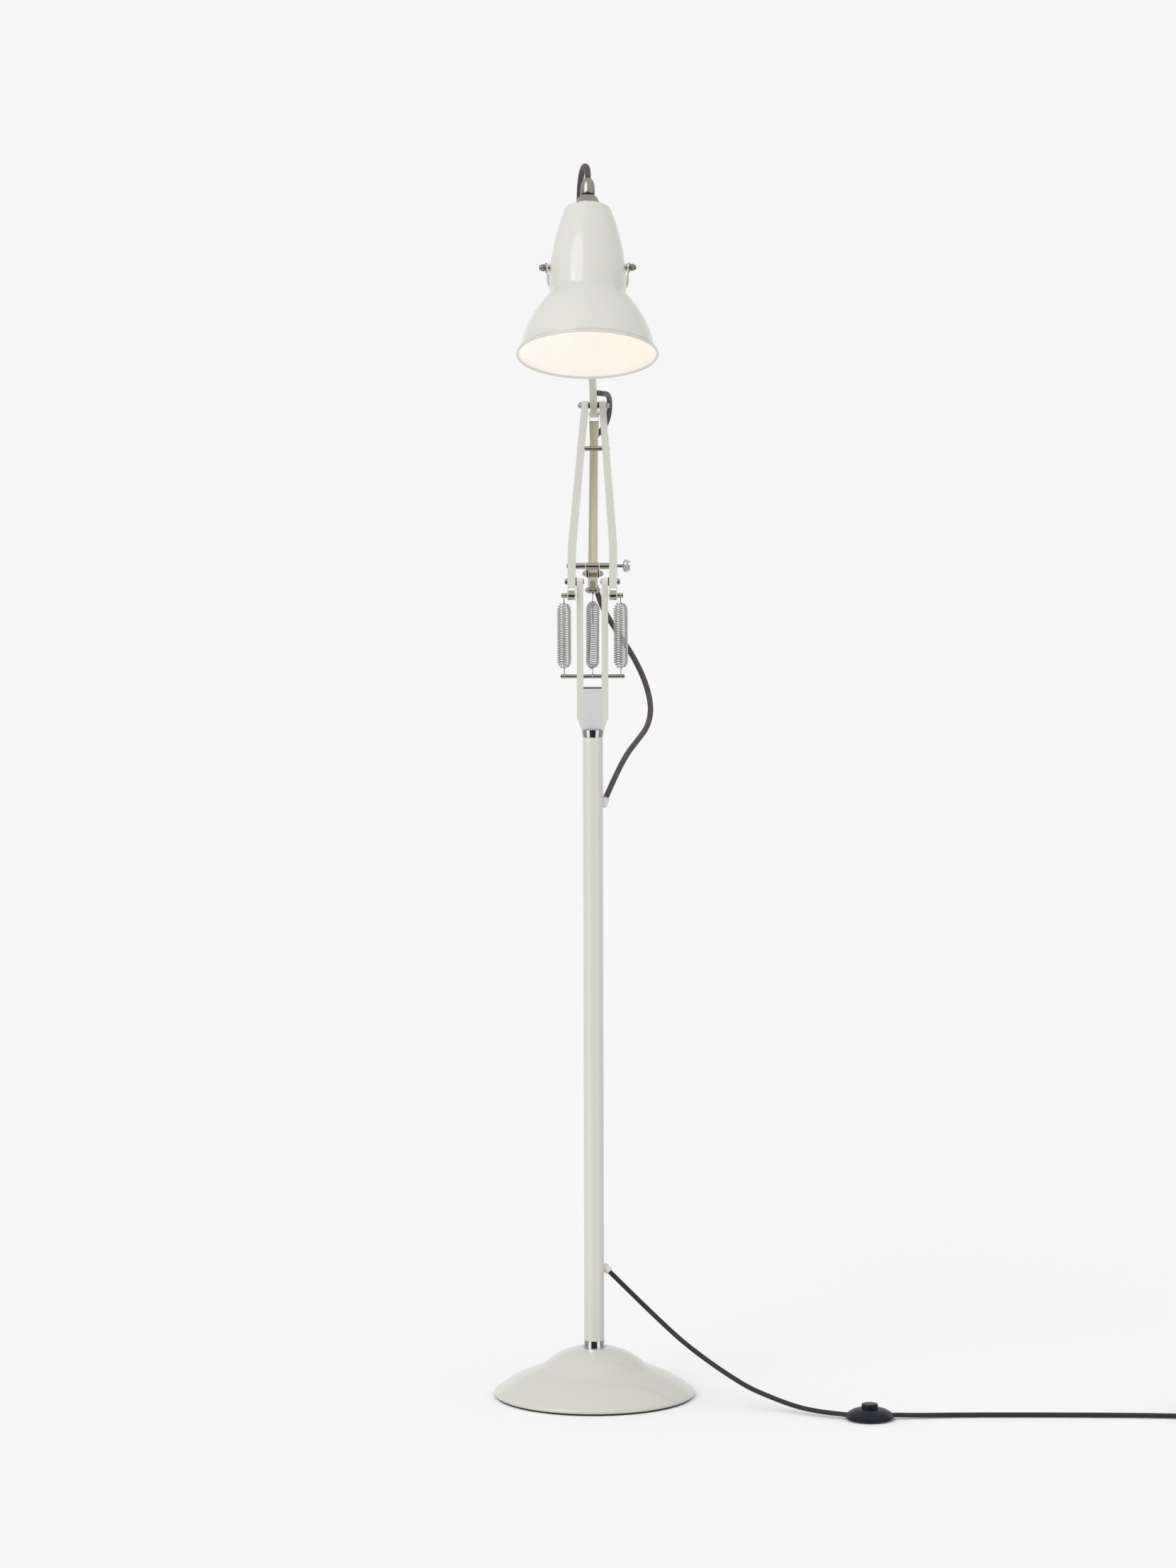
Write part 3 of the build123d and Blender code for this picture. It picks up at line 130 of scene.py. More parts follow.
class LampPaint(bpy.types.PropertyGroup):
    """Colours of the finishes."""

    cream: colour("Cream paint", (0.655, 0.652, 0.585), "Gloss paint on the base, stem, fork, arms and yoke")
    shade: colour("Shade paint", (0.665, 0.665, 0.605), "Gloss paint outside the shade")
    # Painted shade: the cream darkened and warmed inside the link's channel, where shade falls.
    channel_shade: colour("Link channel shade", (0.83, 0.79, 0.61), "Paint inside the link's channel")
    lining: colour("Shade lining", (0.6, 0.585, 0.55), "Enamel inside the shade, under its light")
    # Painted glow: emission on the lining that stands in for the lamp's light on it.
    glow: colour("Glow", (1.0, 0.955, 0.885), "Light on the lining")
    warm: colour("Warm glow", (1.0, 0.865, 0.69), "Light on the lining away from the lamp")
    chrome: colour("Chrome", (0.78, 0.78, 0.785), "Polished chrome plate")
    nickel: colour("Nickel", (0.58, 0.54, 0.49), "Nickel plate on pins, nuts and sleeves")
    holder: colour("Holder plate", (0.44, 0.405, 0.36), "Warm grey plate on the lampholder's cap and grip")
    wire: colour("Spring wire", (0.74, 0.74, 0.73), "Drawn steel wire")
    cable: colour("Cable", (0.085, 0.072, 0.07), "Sheath of the cables on the arms")
    lead: colour("Mains lead", (0.031, 0.025, 0.023), "Sheath of the mains lead")
    switch: colour("Switch", (0.0085, 0.0105, 0.018), "Moulding of the foot switch")
    black: colour("Black", (0.012, 0.012, 0.012), "Washers, bushes and the base's pad")


class LampShade(bpy.types.PropertyGroup):
    """Sizes of the spun shade, measured from its rim along its axis."""

    lean: bpy.props.FloatProperty(
        name="Lean",
        description="Angle of the shade's axis from upright",
        default=math.radians(16.5),
        subtype="ANGLE",
    )
    pivot_height: length_size("Pivot height", 111, "From the rim to the pivot bolts")
    rim_radius: length_size("Rim radius", 83.8, "Outside of the shade just above its bead")
    bell_radius: length_size("Bell radius", 80.5, "Where the flare starts")
    bell_start: length_size("Bell start", 8, "Height of the flare's start")
    neck_radius: length_size("Neck radius", 45.6, "Radius of the crease")
    neck_height: length_size("Neck height", 76, "Height of the crease")
    shoulder_radius: length_size("Shoulder radius", 29.8, "Radius where the crown turns in")
    length: length_size("Length", 187.2, "From the rim to the crown")
    wall: length_size("Wall", 1.2, "Thickness of the metal")
    bead_radius: length_size("Bead radius", 1.6, "Rolled bead on the rim")
    hole_radius: length_size("Hole radius", 11.95, "Hole in the crown")
    cord_exit: length_size("Cord exit", 224.5, "Height of the cord grip's tip")


class LampSprings(bpy.types.PropertyGroup):
    """Sizes of the tension springs."""

    wire: length_size("Wire", 2.0, "Diameter of the spring wire")
    hook_wire: length_size("Hook wire", 1.5, "Diameter of the hooks' drawn-down wire")
    outer_radius: length_size("Outer radius", 9.5, "Outside of the springs beside the fork")
    centre_radius: length_size("Centre radius", 9.0, "Outside of the spring in the fork")
    offset: length_size("Offset", 36.3, "From the middle to each outer spring")
    taper: length_size("Taper", 9, "Length of the drawn-in ends")
    low_hook: length_size("Lower hook", 10.5, "From the bar to the coils")
    high_hook: length_size("Upper hook", 9.5, "From the coils to the studs")
    centre_hook: length_size("Centre hook", 16.5, "From the coils to the link's pin")
    turns: number("Turns", 28, "Coils of an outer spring")
    centre_turns: number("Centre turns", 29, "Coils of the centre spring")


class LampCords(bpy.types.PropertyGroup):
    """Sizes of the cords."""

    cable_radius: length_size("Cable radius", 3.6, "Cable on the arms")
    lead_radius: length_size("Lead radius", 3.1, "Mains lead")
    coil_outer: length_size("Coil radius", 42.9, "Outermost turn of the put-away coil")
    coil_inner: length_size("Coil hole", 27.4, "Innermost turn of the put-away coil")
    coil_turns: number("Coil turns", 7.25, "Turns of the put-away coil")
    coil_layers: number("Coil layers", 3, "Layers of the put-away coil")


class LampStage(bpy.types.PropertyGroup):
    """Studio floor, light and camera."""

    background: number("Background", 0.922, "Brightness of the backdrop")
    floor: number("Floor", 0.895, "Reflectance of the floor")
    ambient: number("Ambient", 0.85, "Even light from all round")
    sun: number("Key light", 0.6, "Strength of the soft key light")
    lens: number("Lens", 89.46, "Focal length in millimetres")


# -------- shader sockets as values
class Wire:
    """A shader output that takes part in Python arithmetic by adding Math nodes."""

    def __init__(self, tree, socket):
        self.tree = tree
        self.socket = socket

    def other(self, name):
        """Another output of the same node."""
        return Wire(self.tree, self.socket.node.outputs[name])

    def maths(self, operation, *terms):
        """One Math node on this value and the terms."""
        sockets = dict(enumerate((self,) + terms))
        return self.tree.node("ShaderNodeMath", {"operation": operation}, sockets)

    def __add__(self, other):
        return self.maths("ADD", other)

    __radd__ = __add__

    def __sub__(self, other):
        return self.maths("SUBTRACT", other)

    def __rsub__(self, other):
        return self.tree.node("ShaderNodeMath", {"operation": "SUBTRACT"}, {0: other, 1: self})

    def __mul__(self, other):
        return self.maths("MULTIPLY", other)

    __rmul__ = __mul__

    def __truediv__(self, other):
        return self.maths("DIVIDE", other)

    def rising(self, low, high):
        """Smooth step from 0 at low to 1 at high."""
        return self.tree.node(
            "ShaderNodeMapRange",
            {"interpolation_type": "SMOOTHSTEP"},
            {"Value": self, "From Min": low, "From Max": high},
        )


class Finish:
    """The nodes of one material or of the world."""

    def __init__(self, owner):
        self.owner = owner
        owner.use_nodes = True
        self.nodes = owner.node_tree.nodes
        self.links = owner.node_tree.links
        self.nodes.clear()

    def node(self, kind, settings=None, sockets=None, output=0):
        """Adds a node, sets its settings and then its sockets, and returns one output."""
        made = self.nodes.new(kind)
        for key, value in (settings or {}).items():
            if key == "stops":
                self.set_stops(made.color_ramp, value)
            else:
                setattr(made, key, value)
        for key, value in (sockets or {}).items():
            if isinstance(value, Wire):
                self.links.new(value.socket, made.inputs[key])
            else:
                made.inputs[key].default_value = value
        return Wire(self, made.outputs[output])

    @staticmethod
    def set_stops(ramp, stops):
        """Sets a colour ramp from (place, grey) pairs, the first at 0 and the last at 1."""
        for place, grey in stops[1:-1]:
            ramp.elements.new(place)
        for element, (place, grey) in zip(ramp.elements, stops):
            element.color = (grey, grey, grey, 1)

    def place(self):
        """Object-space position."""
        return self.node("ShaderNodeTexCoord", output="Object")

    def noise(self, scale, detail, stretch=(1, 1, 1)):
        """Noise from 0 to 1 over the object's own space."""
        spread = self.node("ShaderNodeMapping", {}, {"Vector": self.place(), "Scale": stretch})
        return self.node("ShaderNodeTexNoise", {}, {"Vector": spread, "Scale": scale, "Detail": detail})

    def parts(self, vector, output=0):
        """One part of a vector: X, or the output that is named."""
        return self.node("ShaderNodeSeparateXYZ", {}, {"Vector": vector}, output)

    def mixed(self, factor, first, second):
        """Colour between two colours."""
        sockets = {0: factor, 6: solid(first), 7: solid(second)}
        return self.node("ShaderNodeMix", {"data_type": "RGBA"}, sockets, output=2)

    def bumped(self, height, strength, distance):
        """Normal bent by a height value."""
        sockets = {"Height": height, "Strength": strength, "Distance": distance}
        return self.node("ShaderNodeBump", {}, sockets, output="Normal")

    def ended(self, surface, kind="ShaderNodeOutputMaterial"):
        """Links the last shader to the output and returns the material or the world."""
        self.links.new(surface.socket, self.nodes.new(kind).inputs["Surface"])
        return self.owner

    def finished(self, sockets):
        """Ends a material in one principled surface."""
        return self.ended(self.node("ShaderNodeBsdfPrincipled", {}, sockets))


def solid(value):
    """A colour with alpha, or a wire as it is."""
    return value if isinstance(value, Wire) else (*tuple(value)[:3], 1.0)


def scaled(rgb, factor):
    """A lighter or darker colour."""
    return tuple(min(1.0, channel * factor) for channel in rgb)


def new_finish(name):
    """Node builder of a new material."""
    return Finish(bpy.data.materials.new(name))


# -------- finishes
def gloss_paint(name, rgb):
    """Stoved gloss paint with a faint orange peel and slow changes of tone."""
    finish = new_finish(name)
    tone = finish.noise(scale=14, detail=3)
    peel = finish.noise(scale=1100, detail=1) * 0.7 + finish.noise(scale=320, detail=2) * 0.6
    dust = finish.noise(scale=2600, detail=2)
    return finish.finished({
        "Base Color": finish.mixed(tone, scaled(rgb, 0.975), scaled(rgb, 1.02)),
        "Roughness": dust * 0.08 + tone * 0.06 + 0.24,
        "Coat Weight": 0.6,
        "Coat Roughness": 0.05,
        "Specular IOR Level": 0.42,
        "Normal": finish.bumped(peel, strength=0.03, distance=0.0003),
    })


def plated(name, rgb, roughness, wear):
    """Plated metal with fine polishing marks across it."""
    finish = new_finish(name)
    marks = finish.noise(scale=900, detail=2, stretch=(1, 0.12, 1))
    cloud = finish.noise(scale=160, detail=3)
    return finish.finished({
        "Base Color": finish.mixed(cloud, scaled(rgb, 0.9), scaled(rgb, 1.06)),
        "Metallic": 1.0,
        "Roughness": marks * wear + roughness,
        "Normal": finish.bumped(marks, strength=0.03, distance=0.0001),
    })


def turned_metal(name, rgb, roughness):
    """Turned and plated metal with rings about the X axis."""
    finish = new_finish(name)
    rings = finish.noise(scale=1500, detail=1, stretch=(1, 0.02, 0.02))
    cloud = finish.noise(scale=240, detail=3)
    return finish.finished({
        "Base Color": finish.mixed(cloud, scaled(rgb, 0.82), scaled(rgb, 1.1)),
        "Metallic": 1.0,
        "Roughness": rings * 0.1 + roughness,
        "Normal": finish.bumped(rings, strength=0.08, distance=0.0001),
    })


def moulding(name, rgb, roughness, grain=0.12, coat=0.0, shine=0.5):
    """Moulded plastic, rubber or cast metal with a fine grain."""
    finish = new_finish(name)
    grains = finish.noise(scale=1700, detail=2)
    cloud = finish.noise(scale=60, detail=3)
    return finish.finished({
        "Base Color": finish.mixed(cloud, scaled(rgb, 0.8), scaled(rgb, 1.25)),
        "Roughness": grains * 0.12 + cloud * 0.05 + roughness,
        "Coat Weight": coat,
        "Coat Roughness": 0.2,
        "Specular IOR Level": shine,
        "Normal": finish.bumped(grains, strength=grain, distance=0.0002),
    })


def sheath(name, rgb, roughness):
    """Extruded cord sheath: satin, with slight waves along it and dust in its grain."""
    finish = new_finish(name)
    waves = finish.noise(scale=130, detail=2)
    grain = finish.noise(scale=2200, detail=2)
    return finish.finished({
        "Base Color": finish.mixed(waves, scaled(rgb, 0.78), scaled(rgb, 1.3)),
        "Roughness": grain * 0.14 + waves * 0.08 + roughness,
        "Specular IOR Level": 0.3,
        "Normal": finish.bumped(waves * 0.6 + grain * 0.4, strength=0.14, distance=0.0003),
    })


def lit_lining(name, paint, shade_frame):
    """White enamel inside the shade, with a painted glow standing in for the lamp's light on it: warmer by
    the rim's right.
    """
    finish = new_finish(name)
    side = finish.parts(finish.place())
    above_rim = side.other("Z") - shade_frame.translation.z
    # Painted light: the lining's glow turns warmer towards the right and upward.
    painted_glow_warmth = (side * 9 + above_rim * 5 + 0.18).rising(0.05, 1.1)
    enamel = finish.noise(scale=500, detail=2)
    return finish.finished({
        "Base Color": finish.mixed(enamel, scaled(paint.lining, 0.97), paint.lining),
        "Roughness": enamel * 0.06 + 0.32,
        # Painted glow: the lining gives off light, though it is no lamp.
        "Emission Color": finish.mixed(painted_glow_warmth, paint.glow, paint.warm),
        "Emission Strength": 0.4,
        "Normal": finish.bumped(enamel, strength=0.04, distance=0.0002),
    })


def lit_glass(name, paint):
    """Frosted lamp glass, glowing."""
    finish = new_finish(name)
    frost = finish.noise(scale=900, detail=2)
    return finish.finished({
        "Base Color": finish.mixed(frost, (0.93, 0.92, 0.88), (1, 0.99, 0.96)),
        "Roughness": frost * 0.1 + 0.4,
        "Emission Color": finish.mixed(frost, paint.glow, (1, 0.985, 0.95)),
        "Emission Strength": 0.95,
    })


def plate_with_painted_lip_light(name):
    """Satin plate with a painted highlight along its folded lip and a painted shadow line under it."""
    finish = new_finish(name)
    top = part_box("name_plate")[1].z
    height = finish.parts(finish.place(), "Z")
    # Painted highlight: a pale band along the lip at the top. Painted shadow: a dark line just under it.
    lip = height.rising(top - 1.7 * MM, top - 1.5 * MM)
    line = height.rising(top - 3.4 * MM, top - 3.2 * MM) * (1 - lip)
    brushed = finish.noise(scale=700, detail=2, stretch=(1, 1, 0.1))
    face = finish.mixed(brushed, (0.68, 0.68, 0.705), (0.745, 0.745, 0.77))
    face_with_painted_shadow = finish.mixed(line, face, (0.02, 0.02, 0.022))
    return finish.finished({
        "Base Color": finish.mixed(lip, face_with_painted_shadow, (0.86, 0.86, 0.86)),
        "Metallic": 0.2,
        "Roughness": brushed * 0.12 + 0.34,
        "Normal": finish.bumped(brushed, strength=0.03, distance=0.0001),
    })


def channel_shade_paint(name, outside, inside, across_half, depth_direction, back_face):
    """Gloss paint with painted shade: darker and warmer inside a channel that is open to the front."""
    finish = new_finish(name)
    place = finish.place()
    depth = finish.node(
        "ShaderNodeVectorMath", {"operation": "DOT_PRODUCT"}, {0: place, 1: depth_direction}, output="Value"
    )
    # Mask of the painted shade: within the channel's width and away from its back face.
    within = 1 - finish.parts(place).maths("ABSOLUTE").rising(across_half - 0.4 * MM, across_half)
    behind = (depth - back_face).rising(0.8 * MM, 4 * MM)
    peel = finish.noise(scale=1100, detail=1)
    tone = finish.noise(scale=14, detail=3)
    return finish.finished({
        "Base Color": finish.mixed(within * behind, outside, inside),
        "Roughness": tone * 0.1 + 0.28,
        "Coat Weight": 0.3,
        "Coat Roughness": 0.08,
        "Normal": finish.bumped(peel, strength=0.06, distance=0.0003),
    })


# -------- shared ways of making meshes
def mesh_piece(name, shape, material, body=None, stands_for=None):
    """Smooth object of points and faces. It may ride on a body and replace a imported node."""
    points, faces = shape
    mesh = bpy.data.meshes.new(name)
    mesh.from_pydata([tuple(point) for point in points], [], faces)
    mesh.polygons.foreach_set("use_smooth", [True] * len(mesh.polygons))
    mesh.update()
    piece = bpy.data.objects.new(name, mesh)
    bpy.context.scene.collection.objects.link(piece)
    mesh.materials.append(material)
    if body:
        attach(piece, body)
    if stands_for:
        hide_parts(stands_for)
    return piece


def grid_faces(rows, columns, closed=False):
    """Quads between rings of points, each ring closed on itself. If closed, the last row joins the first."""
    faces = []
    for row in range(rows if closed else rows - 1):
        here = row * columns
        after = (row + 1) % rows * columns
        for column in range(columns):
            beside = (column + 1) % columns
            faces.append((here + column, here + beside, after + beside, after + column))
    return faces


def turned_mesh(outline, place, steps=96, closed=False, shape=None):
    """Points and faces turned from (radius, height) pairs. A shape may vary the radius round the axis."""
    points = []
    for index, (radius, height) in enumerate(outline):
        for step in range(steps):
            angle = 2 * math.pi * step / steps
            reach = radius * (shape(index, angle) if shape else 1)
            points.append(place @ Vector((reach * math.cos(angle), reach * math.sin(angle), height)))
    return points, grid_faces(len(outline), steps, closed)


def arc(first, middle, last, steps):
    """Points of the arc through three (x, y) points, without its first point."""
    a, b, c = (complex(*point) for point in (first, middle, last))
    w = (c - a) / (b - a)
    hub = (b - a) * (w - abs(w) ** 2) / (2j * w.imag) + a
    start = cmath.phase(a - hub)
    swing = cmath.phase((c - hub) / (a - hub))
    middle_swing = cmath.phase((b - hub) / (a - hub))
    if swing * middle_swing < 0 or abs(middle_swing) > abs(swing):
        swing -= math.copysign(2 * math.pi, swing)
    found = []
    for step in range(1, steps + 1):
        point = hub + cmath.rect(abs(a - hub), start + swing * step / steps)
        found.append((point.real, point.imag))
    return found


def tube_mesh(path, radii, sides=10):
    """Points and faces of a round tube along a path, closed at both ends."""
    last = len(path) - 1
    heading = (path[1] - path[0]).normalized()
    side = heading.orthogonal().normalized()
    points = []
    for index in range(last + 1):
        before = path[max(index - 1, 0)]
        after = path[min(index + 1, last)]
        new_heading = (after - before).normalized()
        side = (heading.rotation_difference(new_heading) @ side).normalized()
        side = (side - new_heading * side.dot(new_heading)).normalized()
        heading = new_heading
        other = heading.cross(side)
        for step in range(sides):
            angle = 2 * math.pi * step / sides
            points.append(path[index] + radii[index] * (side * math.cos(angle) + other * math.sin(angle)))
    faces = grid_faces(last + 1, sides)
    faces.append(tuple(reversed(range(sides))))
    faces.append(tuple(range(last * sides, (last + 1) * sides)))
    return points, faces


def nurbs_object(name, points, radius, resolution=8):
    """Curve object of one open spline with these control points."""
    curve = bpy.data.curves.new(name, "CURVE")
    curve.dimensions = "3D"
    curve.resolution_u = resolution
    curve.bevel_depth = radius
    curve.bevel_resolution = 5
    curve.use_fill_caps = True
    spline = curve.splines.new("NURBS")
    spline.points.add(len(points) - 1)
    for control, point in zip(spline.points, points):
        control.co = (*point, 1)
    spline.order_u = 3
    spline.use_endpoint_u = True
    piece = bpy.data.objects.new(name, curve)
    bpy.context.scene.collection.objects.link(piece)
    return piece


def nurbs_path(points):
    """Points along the smooth spline of these control points."""
    guide = nurbs_object("guide", points, 0, resolution=10)
    bpy.context.view_layer.update()
    mesh = bpy.data.meshes.new_from_object(guide)
    path = [vertex.co.copy() for vertex in mesh.vertices]
    curve = guide.data
    bpy.data.objects.remove(guide)
    bpy.data.curves.remove(curve)
    bpy.data.meshes.remove(mesh)
    if (path[0] - Vector(points[0])).length > (path[-1] - Vector(points[0])).length:
        path.reverse()
    return path


def joined_meshes(parts):
    """One list of points and faces from several."""
    points, faces = [], []
    for part_points, part_faces in parts:
        start = len(points)
        points.extend(part_points)
        faces.extend(tuple(start + corner for corner in face) for face in part_faces)
    return points, faces


def ring_mesh(place, radius, thickness, steps, sides):
    """Round ring of wire in a frame's XY plane."""
    outline = []
    for side in range(sides):
        angle = 2 * math.pi * side / sides
        outline.append((radius + thickness * math.cos(angle), thickness * math.sin(angle)))
    return turned_mesh(outline, place, steps, closed=True)


def in_metres(outline):
    """An outline typed in millimetres, in metres."""
    return [(radius * MM, height * MM) for radius, height in outline]


def mm_points(route):
    """A route in metres: bare triples are millimetres, and Vectors are in metres already."""
    return [point if isinstance(point, Vector) else Vector(point) * MM for point in route]


# -------- cord routes
ARM_FACE = 5.1 * MM  # from the upper arm's axis to just outside its tube
LINK_BACK = 4.55 * MM  # from the link's axis to just behind its back
COIL_MIDDLE = Vector((800 * MM, -98.2 * MM, 0))
YOKE_HEIGHT = 1540 * MM  # height where the head cable, on its way down, is split into its loop and its drop
LOOP_CREST = -260 * MM  # behind this it is on its way down
ARM_HEIGHT = 1012 * MM  # height where the lower cable's top stretch ends
FORK_HEIGHT = 935 * MM  # and where its middle stretch ends


def head_route(shade_frame, exit_height):
    """From the cord grip over to the top of the arm."""
    entry = UPPER_LENGTH - 33 * MM
    return mm_points([
        shade_frame @ Vector((0, 0, exit_height)),
        (0, -284, 1549), (-4, -271, 1555), (-8, -254, 1549), (-11, -239, 1529),
        (-11, -229, 1502), (-8, -221, 1472), (-3, -216, 1443),
        UPPER @ Vector((0, ARM_FACE + 24 * MM, entry)),
        UPPER @ Vector((0, ARM_FACE, entry)),
    ])


def elbow_route(cords):
    """Out of the arm's right wall, round the elbow and onto the link's back."""
    gap = LINK_BACK + cords.cable_radius
    return mm_points([
        UPPER @ Vector((ARM_FACE, 0, 52 * MM)),
        UPPER @ Vector((ARM_FACE + 3.6 * MM, 0, 52 * MM)),
        (12.5, 123, 1298), (17, 138, 1298.5), (20, 156, 1296), (21, 173, 1289),
        (20.5, 186, 1277), (17, 193, 1263.5), (10, 194, 1252.5), (3, 189.5, 1246),
        LINK @ Vector((0, gap, 224.6 * MM)),
        LINK @ Vector((0, gap, 210.6 * MM)),
    ])


def lower_route(cords):
    """From the link's foot, out to the right and down into the stem."""
    return mm_points([
        LINK @ Vector((0, LINK_BACK + cords.cable_radius, -1.3 * MM)),
        (5, 47, 1040), (12, 41, 1020), (24, 37, 999), (40, 36, 975), (56, 34, 949), (69, 30, 920),
        (75.5, 27, 890), (71, 24, 866), (58, 21, 849), (43, 17.5, 830), (27, 12, 799), (11.8, 5.5, 764),
    ])


def coil_points(cords):
    """Control points of the put-away coil, layer on layer, from its south side round to its east side."""
    per_turn = 16
    steps = int(cords.coil_turns * per_turn)
    pull = 1 / math.cos(math.pi / per_turn)
    layer_steps = steps / cords.coil_layers
    top_layer = cords.coil_layers - 1
    rise = 2 * cords.lead_radius + 0.1 * MM
    climb_share = 0.05
    points = []
    for step in range(steps + 1):
        layer = min(int(step / layer_steps), top_layer)
        share = step / layer_steps - layer
        inward = share if layer % 2 == 0 else 1 - share
        radius = (cords.coil_outer + (cords.coil_inner - cords.coil_outer) * inward) * pull
        climb = 0 if layer == top_layer else max(0, (share - 1 + climb_share) / climb_share)
        angle = -math.pi / 2 + 2 * math.pi * step / per_turn
        height = cords.lead_radius + rise * (layer + climb)
        points.append(COIL_MIDDLE + Vector((radius * math.cos(angle), radius * math.sin(angle), height)))
    return points


def lead_route(cords):
    """From the stem's grommet through the foot switch, round its button, and a coil to the plug."""
    out = [
        (11.8, 5.5, 168), (61, 0, 120), (100, -18, 86), (121, -30, 70), (146, -41, 53), (172, -57, 38),
        (198, -74, 25), (222, -86, 17), (243, -98, 11), (264, -112, 7), (291, -131, 5.7),
    ]
    switch = [
        (322, -143.5, 5.3), (331, -155, 5.15), (340, -160.5, 5.15), (348.5, -161.5, 5.15),
        (357, -160.5, 5.15), (366, -155, 5.15), (375, -143.6, 5.3),
    ]
    along = [
        (403, -141, 4.2), (436, -135.5, 3.3), (480, -133, 3.12), (540, -132.4, 3.1),
        (610, -132.9, 3.1), (690, -134.4, 3.1), (745, -139.6, 3.1), (776, -141.1, 3.1),
    ]
    away = [
        (844.6, -84, 13.2), (845.6, -71, 8.5), (843.4, -57, 3.9), (840, -42, 3.2),
        (837.4, -24, 3.6), (835.4, -4, 5), (835, 19.8, 6.5),
    ]
    return mm_points(out + switch + along) + coil_points(cords) + mm_points(away)


# -------- shade
def shade_frame_of(shade):
    """Frame of the shade: origin at its rim's centre, z along its axis."""
    axis = Vector((0, math.sin(shade.lean), math.cos(shade.lean)))
    return placed(SHADE_PIVOT - axis * shade.pivot_height, ACROSS, axis)


def bell_outline(shade, inset):
    """Spun outline from the rim to the crown: flare, crease, barrel and rounded shoulder."""
    rim = (shade.rim_radius - inset, 1.5 * MM)
    start = (shade.bell_radius - inset, shade.bell_start)
    flare = (67.5 * MM - 0.75 * inset, 45 * MM - 0.65 * inset)
    neck = (shade.neck_radius - inset, shade.neck_height - inset * 0.6)
    above_neck = (shade.neck_radius + 0.1 * MM - inset, 93 * MM)
    barrel = (shade.neck_radius - 0.6 * MM - inset, 110 * MM)
    belly = (40.6 * MM - inset, 141 * MM)
    shoulder = (shade.shoulder_radius - inset, shade.length - 9 * MM)
    bend = (shade.shoulder_radius - 2.6 * MM - 0.8 * inset, shade.length - 2.8 * MM - 0.8 * inset)
    top = (shade.shoulder_radius - 8 * MM, shade.length - inset)
    outline = [rim, start]
    outline += arc(start, flare, neck, 28)
    outline += arc(neck, above_neck, barrel, 8)
    outline += arc(barrel, belly, shoulder, 20)
    outline += arc(shoulder, bend, top, 10)
    outline.append((shade.hole_radius, shade.length - inset))
    return outline


def shade_pieces(paint, shade):
    """Painted skin with its rolled bead and pips, and the lit lining inside it."""
    place = shade_frame_of(shade)
    steps = 160
    skin = gloss_paint("shade gloss paint", paint.shade)
    lining = lit_lining("shade lining enamel", paint, place)
    half_wall = shade.wall / 2
    outside = bell_outline(shade, 0)
    middle = bell_outline(shade, half_wall)
    inside = bell_outline(shade, shade.wall)
    shell = turned_mesh(outside + middle[::-1], place, steps, closed=True)
    bead_place = place @ Matrix.Translation((0, 0, shade.bead_radius))
    bead = ring_mesh(bead_place, shade.rim_radius - half_wall, shade.bead_radius, steps, 14)
    mesh_piece("shade_skin", joined_meshes([shell, bead]), skin, "shade", "shade")
    lining_shape = turned_mesh(middle + inside[::-1], place, steps, closed=True)
    mesh_piece("shade_lining", lining_shape, lining, "shade")
    pip = in_metres([(2.0, -1.2), (2.0, 0.3), (1.6, 0.75), (0.8, 1.0), (0.02, 1.05)])
    pips = []
    for turn in (-140, -40):
        angle = math.radians(turn)
        out = Vector((math.cos(angle), math.sin(angle), 0))
        seat = out * (shade.neck_radius + 0.1 * MM) + Vector((0, 0, shade.neck_height + 0.4 * MM))
        spot = place @ Matrix.Translation(seat) @ placed((0, 0, 0), (-out.y, out.x, 0), out)
        pips.append(turned_mesh(pip, spot, 24, shape=lambda index, a: 1 - 0.35 * abs(math.sin(a))))
    mesh_piece("crease_pips", joined_meshes(pips), skin, "shade")


# -------- springs
EYE_ANGLES = [math.radians(-210 + 300 * step / 24) for step in range(25)]  # from an eye's tip to its shank
COIL_STEPS = 18  # points in one turn of a coil
END_WIDTH = 0.42  # width of the drawn-in ends, as a share of the coil's
HOOK_INSIDE = 30 * MM  # length of the link's hook inside the centre coil


def eye(at, radius, axis, depth, angles):
    """Wire round a pin, from the angles given."""
    return [at + radius * (axis * math.sin(angle) + depth * math.cos(angle)) for angle in angles]


def spring_path(springs, foot, head, radius, high, turns, eye_radius, top_hook):
    """Path and radii of a tension spring's wire: the lower hook, the coils and, if wanted, the upper hook."""
    axis = (head - foot).normalized()
    depth = axis.cross(ACROSS)
    mean = radius - springs.wire / 2
    hook = springs.hook_wire / 2
    low = springs.low_hook
    body = (head - foot).length - low - high
    path = eye(foot, eye_radius, axis, depth, EYE_ANGLES)
    path += [foot + axis * (eye_radius + (low - eye_radius) * share) for share in (0.35, 0.6, 0.85, 1.0)]
    radii = [hook] * (len(path) + 1)
    half_turn = COIL_STEPS // 2
    steps = turns * COIL_STEPS
    for step in range(steps + 1):
        along = step / steps * body
        closing = min(along, body - along) / springs.taper
        spread = END_WIDTH + (1 - END_WIDTH) * math.sin(min(1, closing) * math.pi / 2)
        if step < half_turn:
            spread *= step / half_turn
        if steps - step < half_turn and top_hook:
            spread *= (steps - step) / half_turn
        angle = 2 * math.pi * step / COIL_STEPS
        out = ACROSS * math.cos(angle) + depth * math.sin(angle)
        path.append(foot + axis * (low + along) + out * (mean * spread))
    radii += [springs.wire / 2] * steps
    if top_hook:
        path += [head - axis * (high - (high - eye_radius) * share) for share in (0.2, 0.5, 0.8, 1.0)]
        path += eye(head, -eye_radius, axis, depth, EYE_ANGLES)
        radii += [hook] * (len(path) - len(radii))
    return path, radii


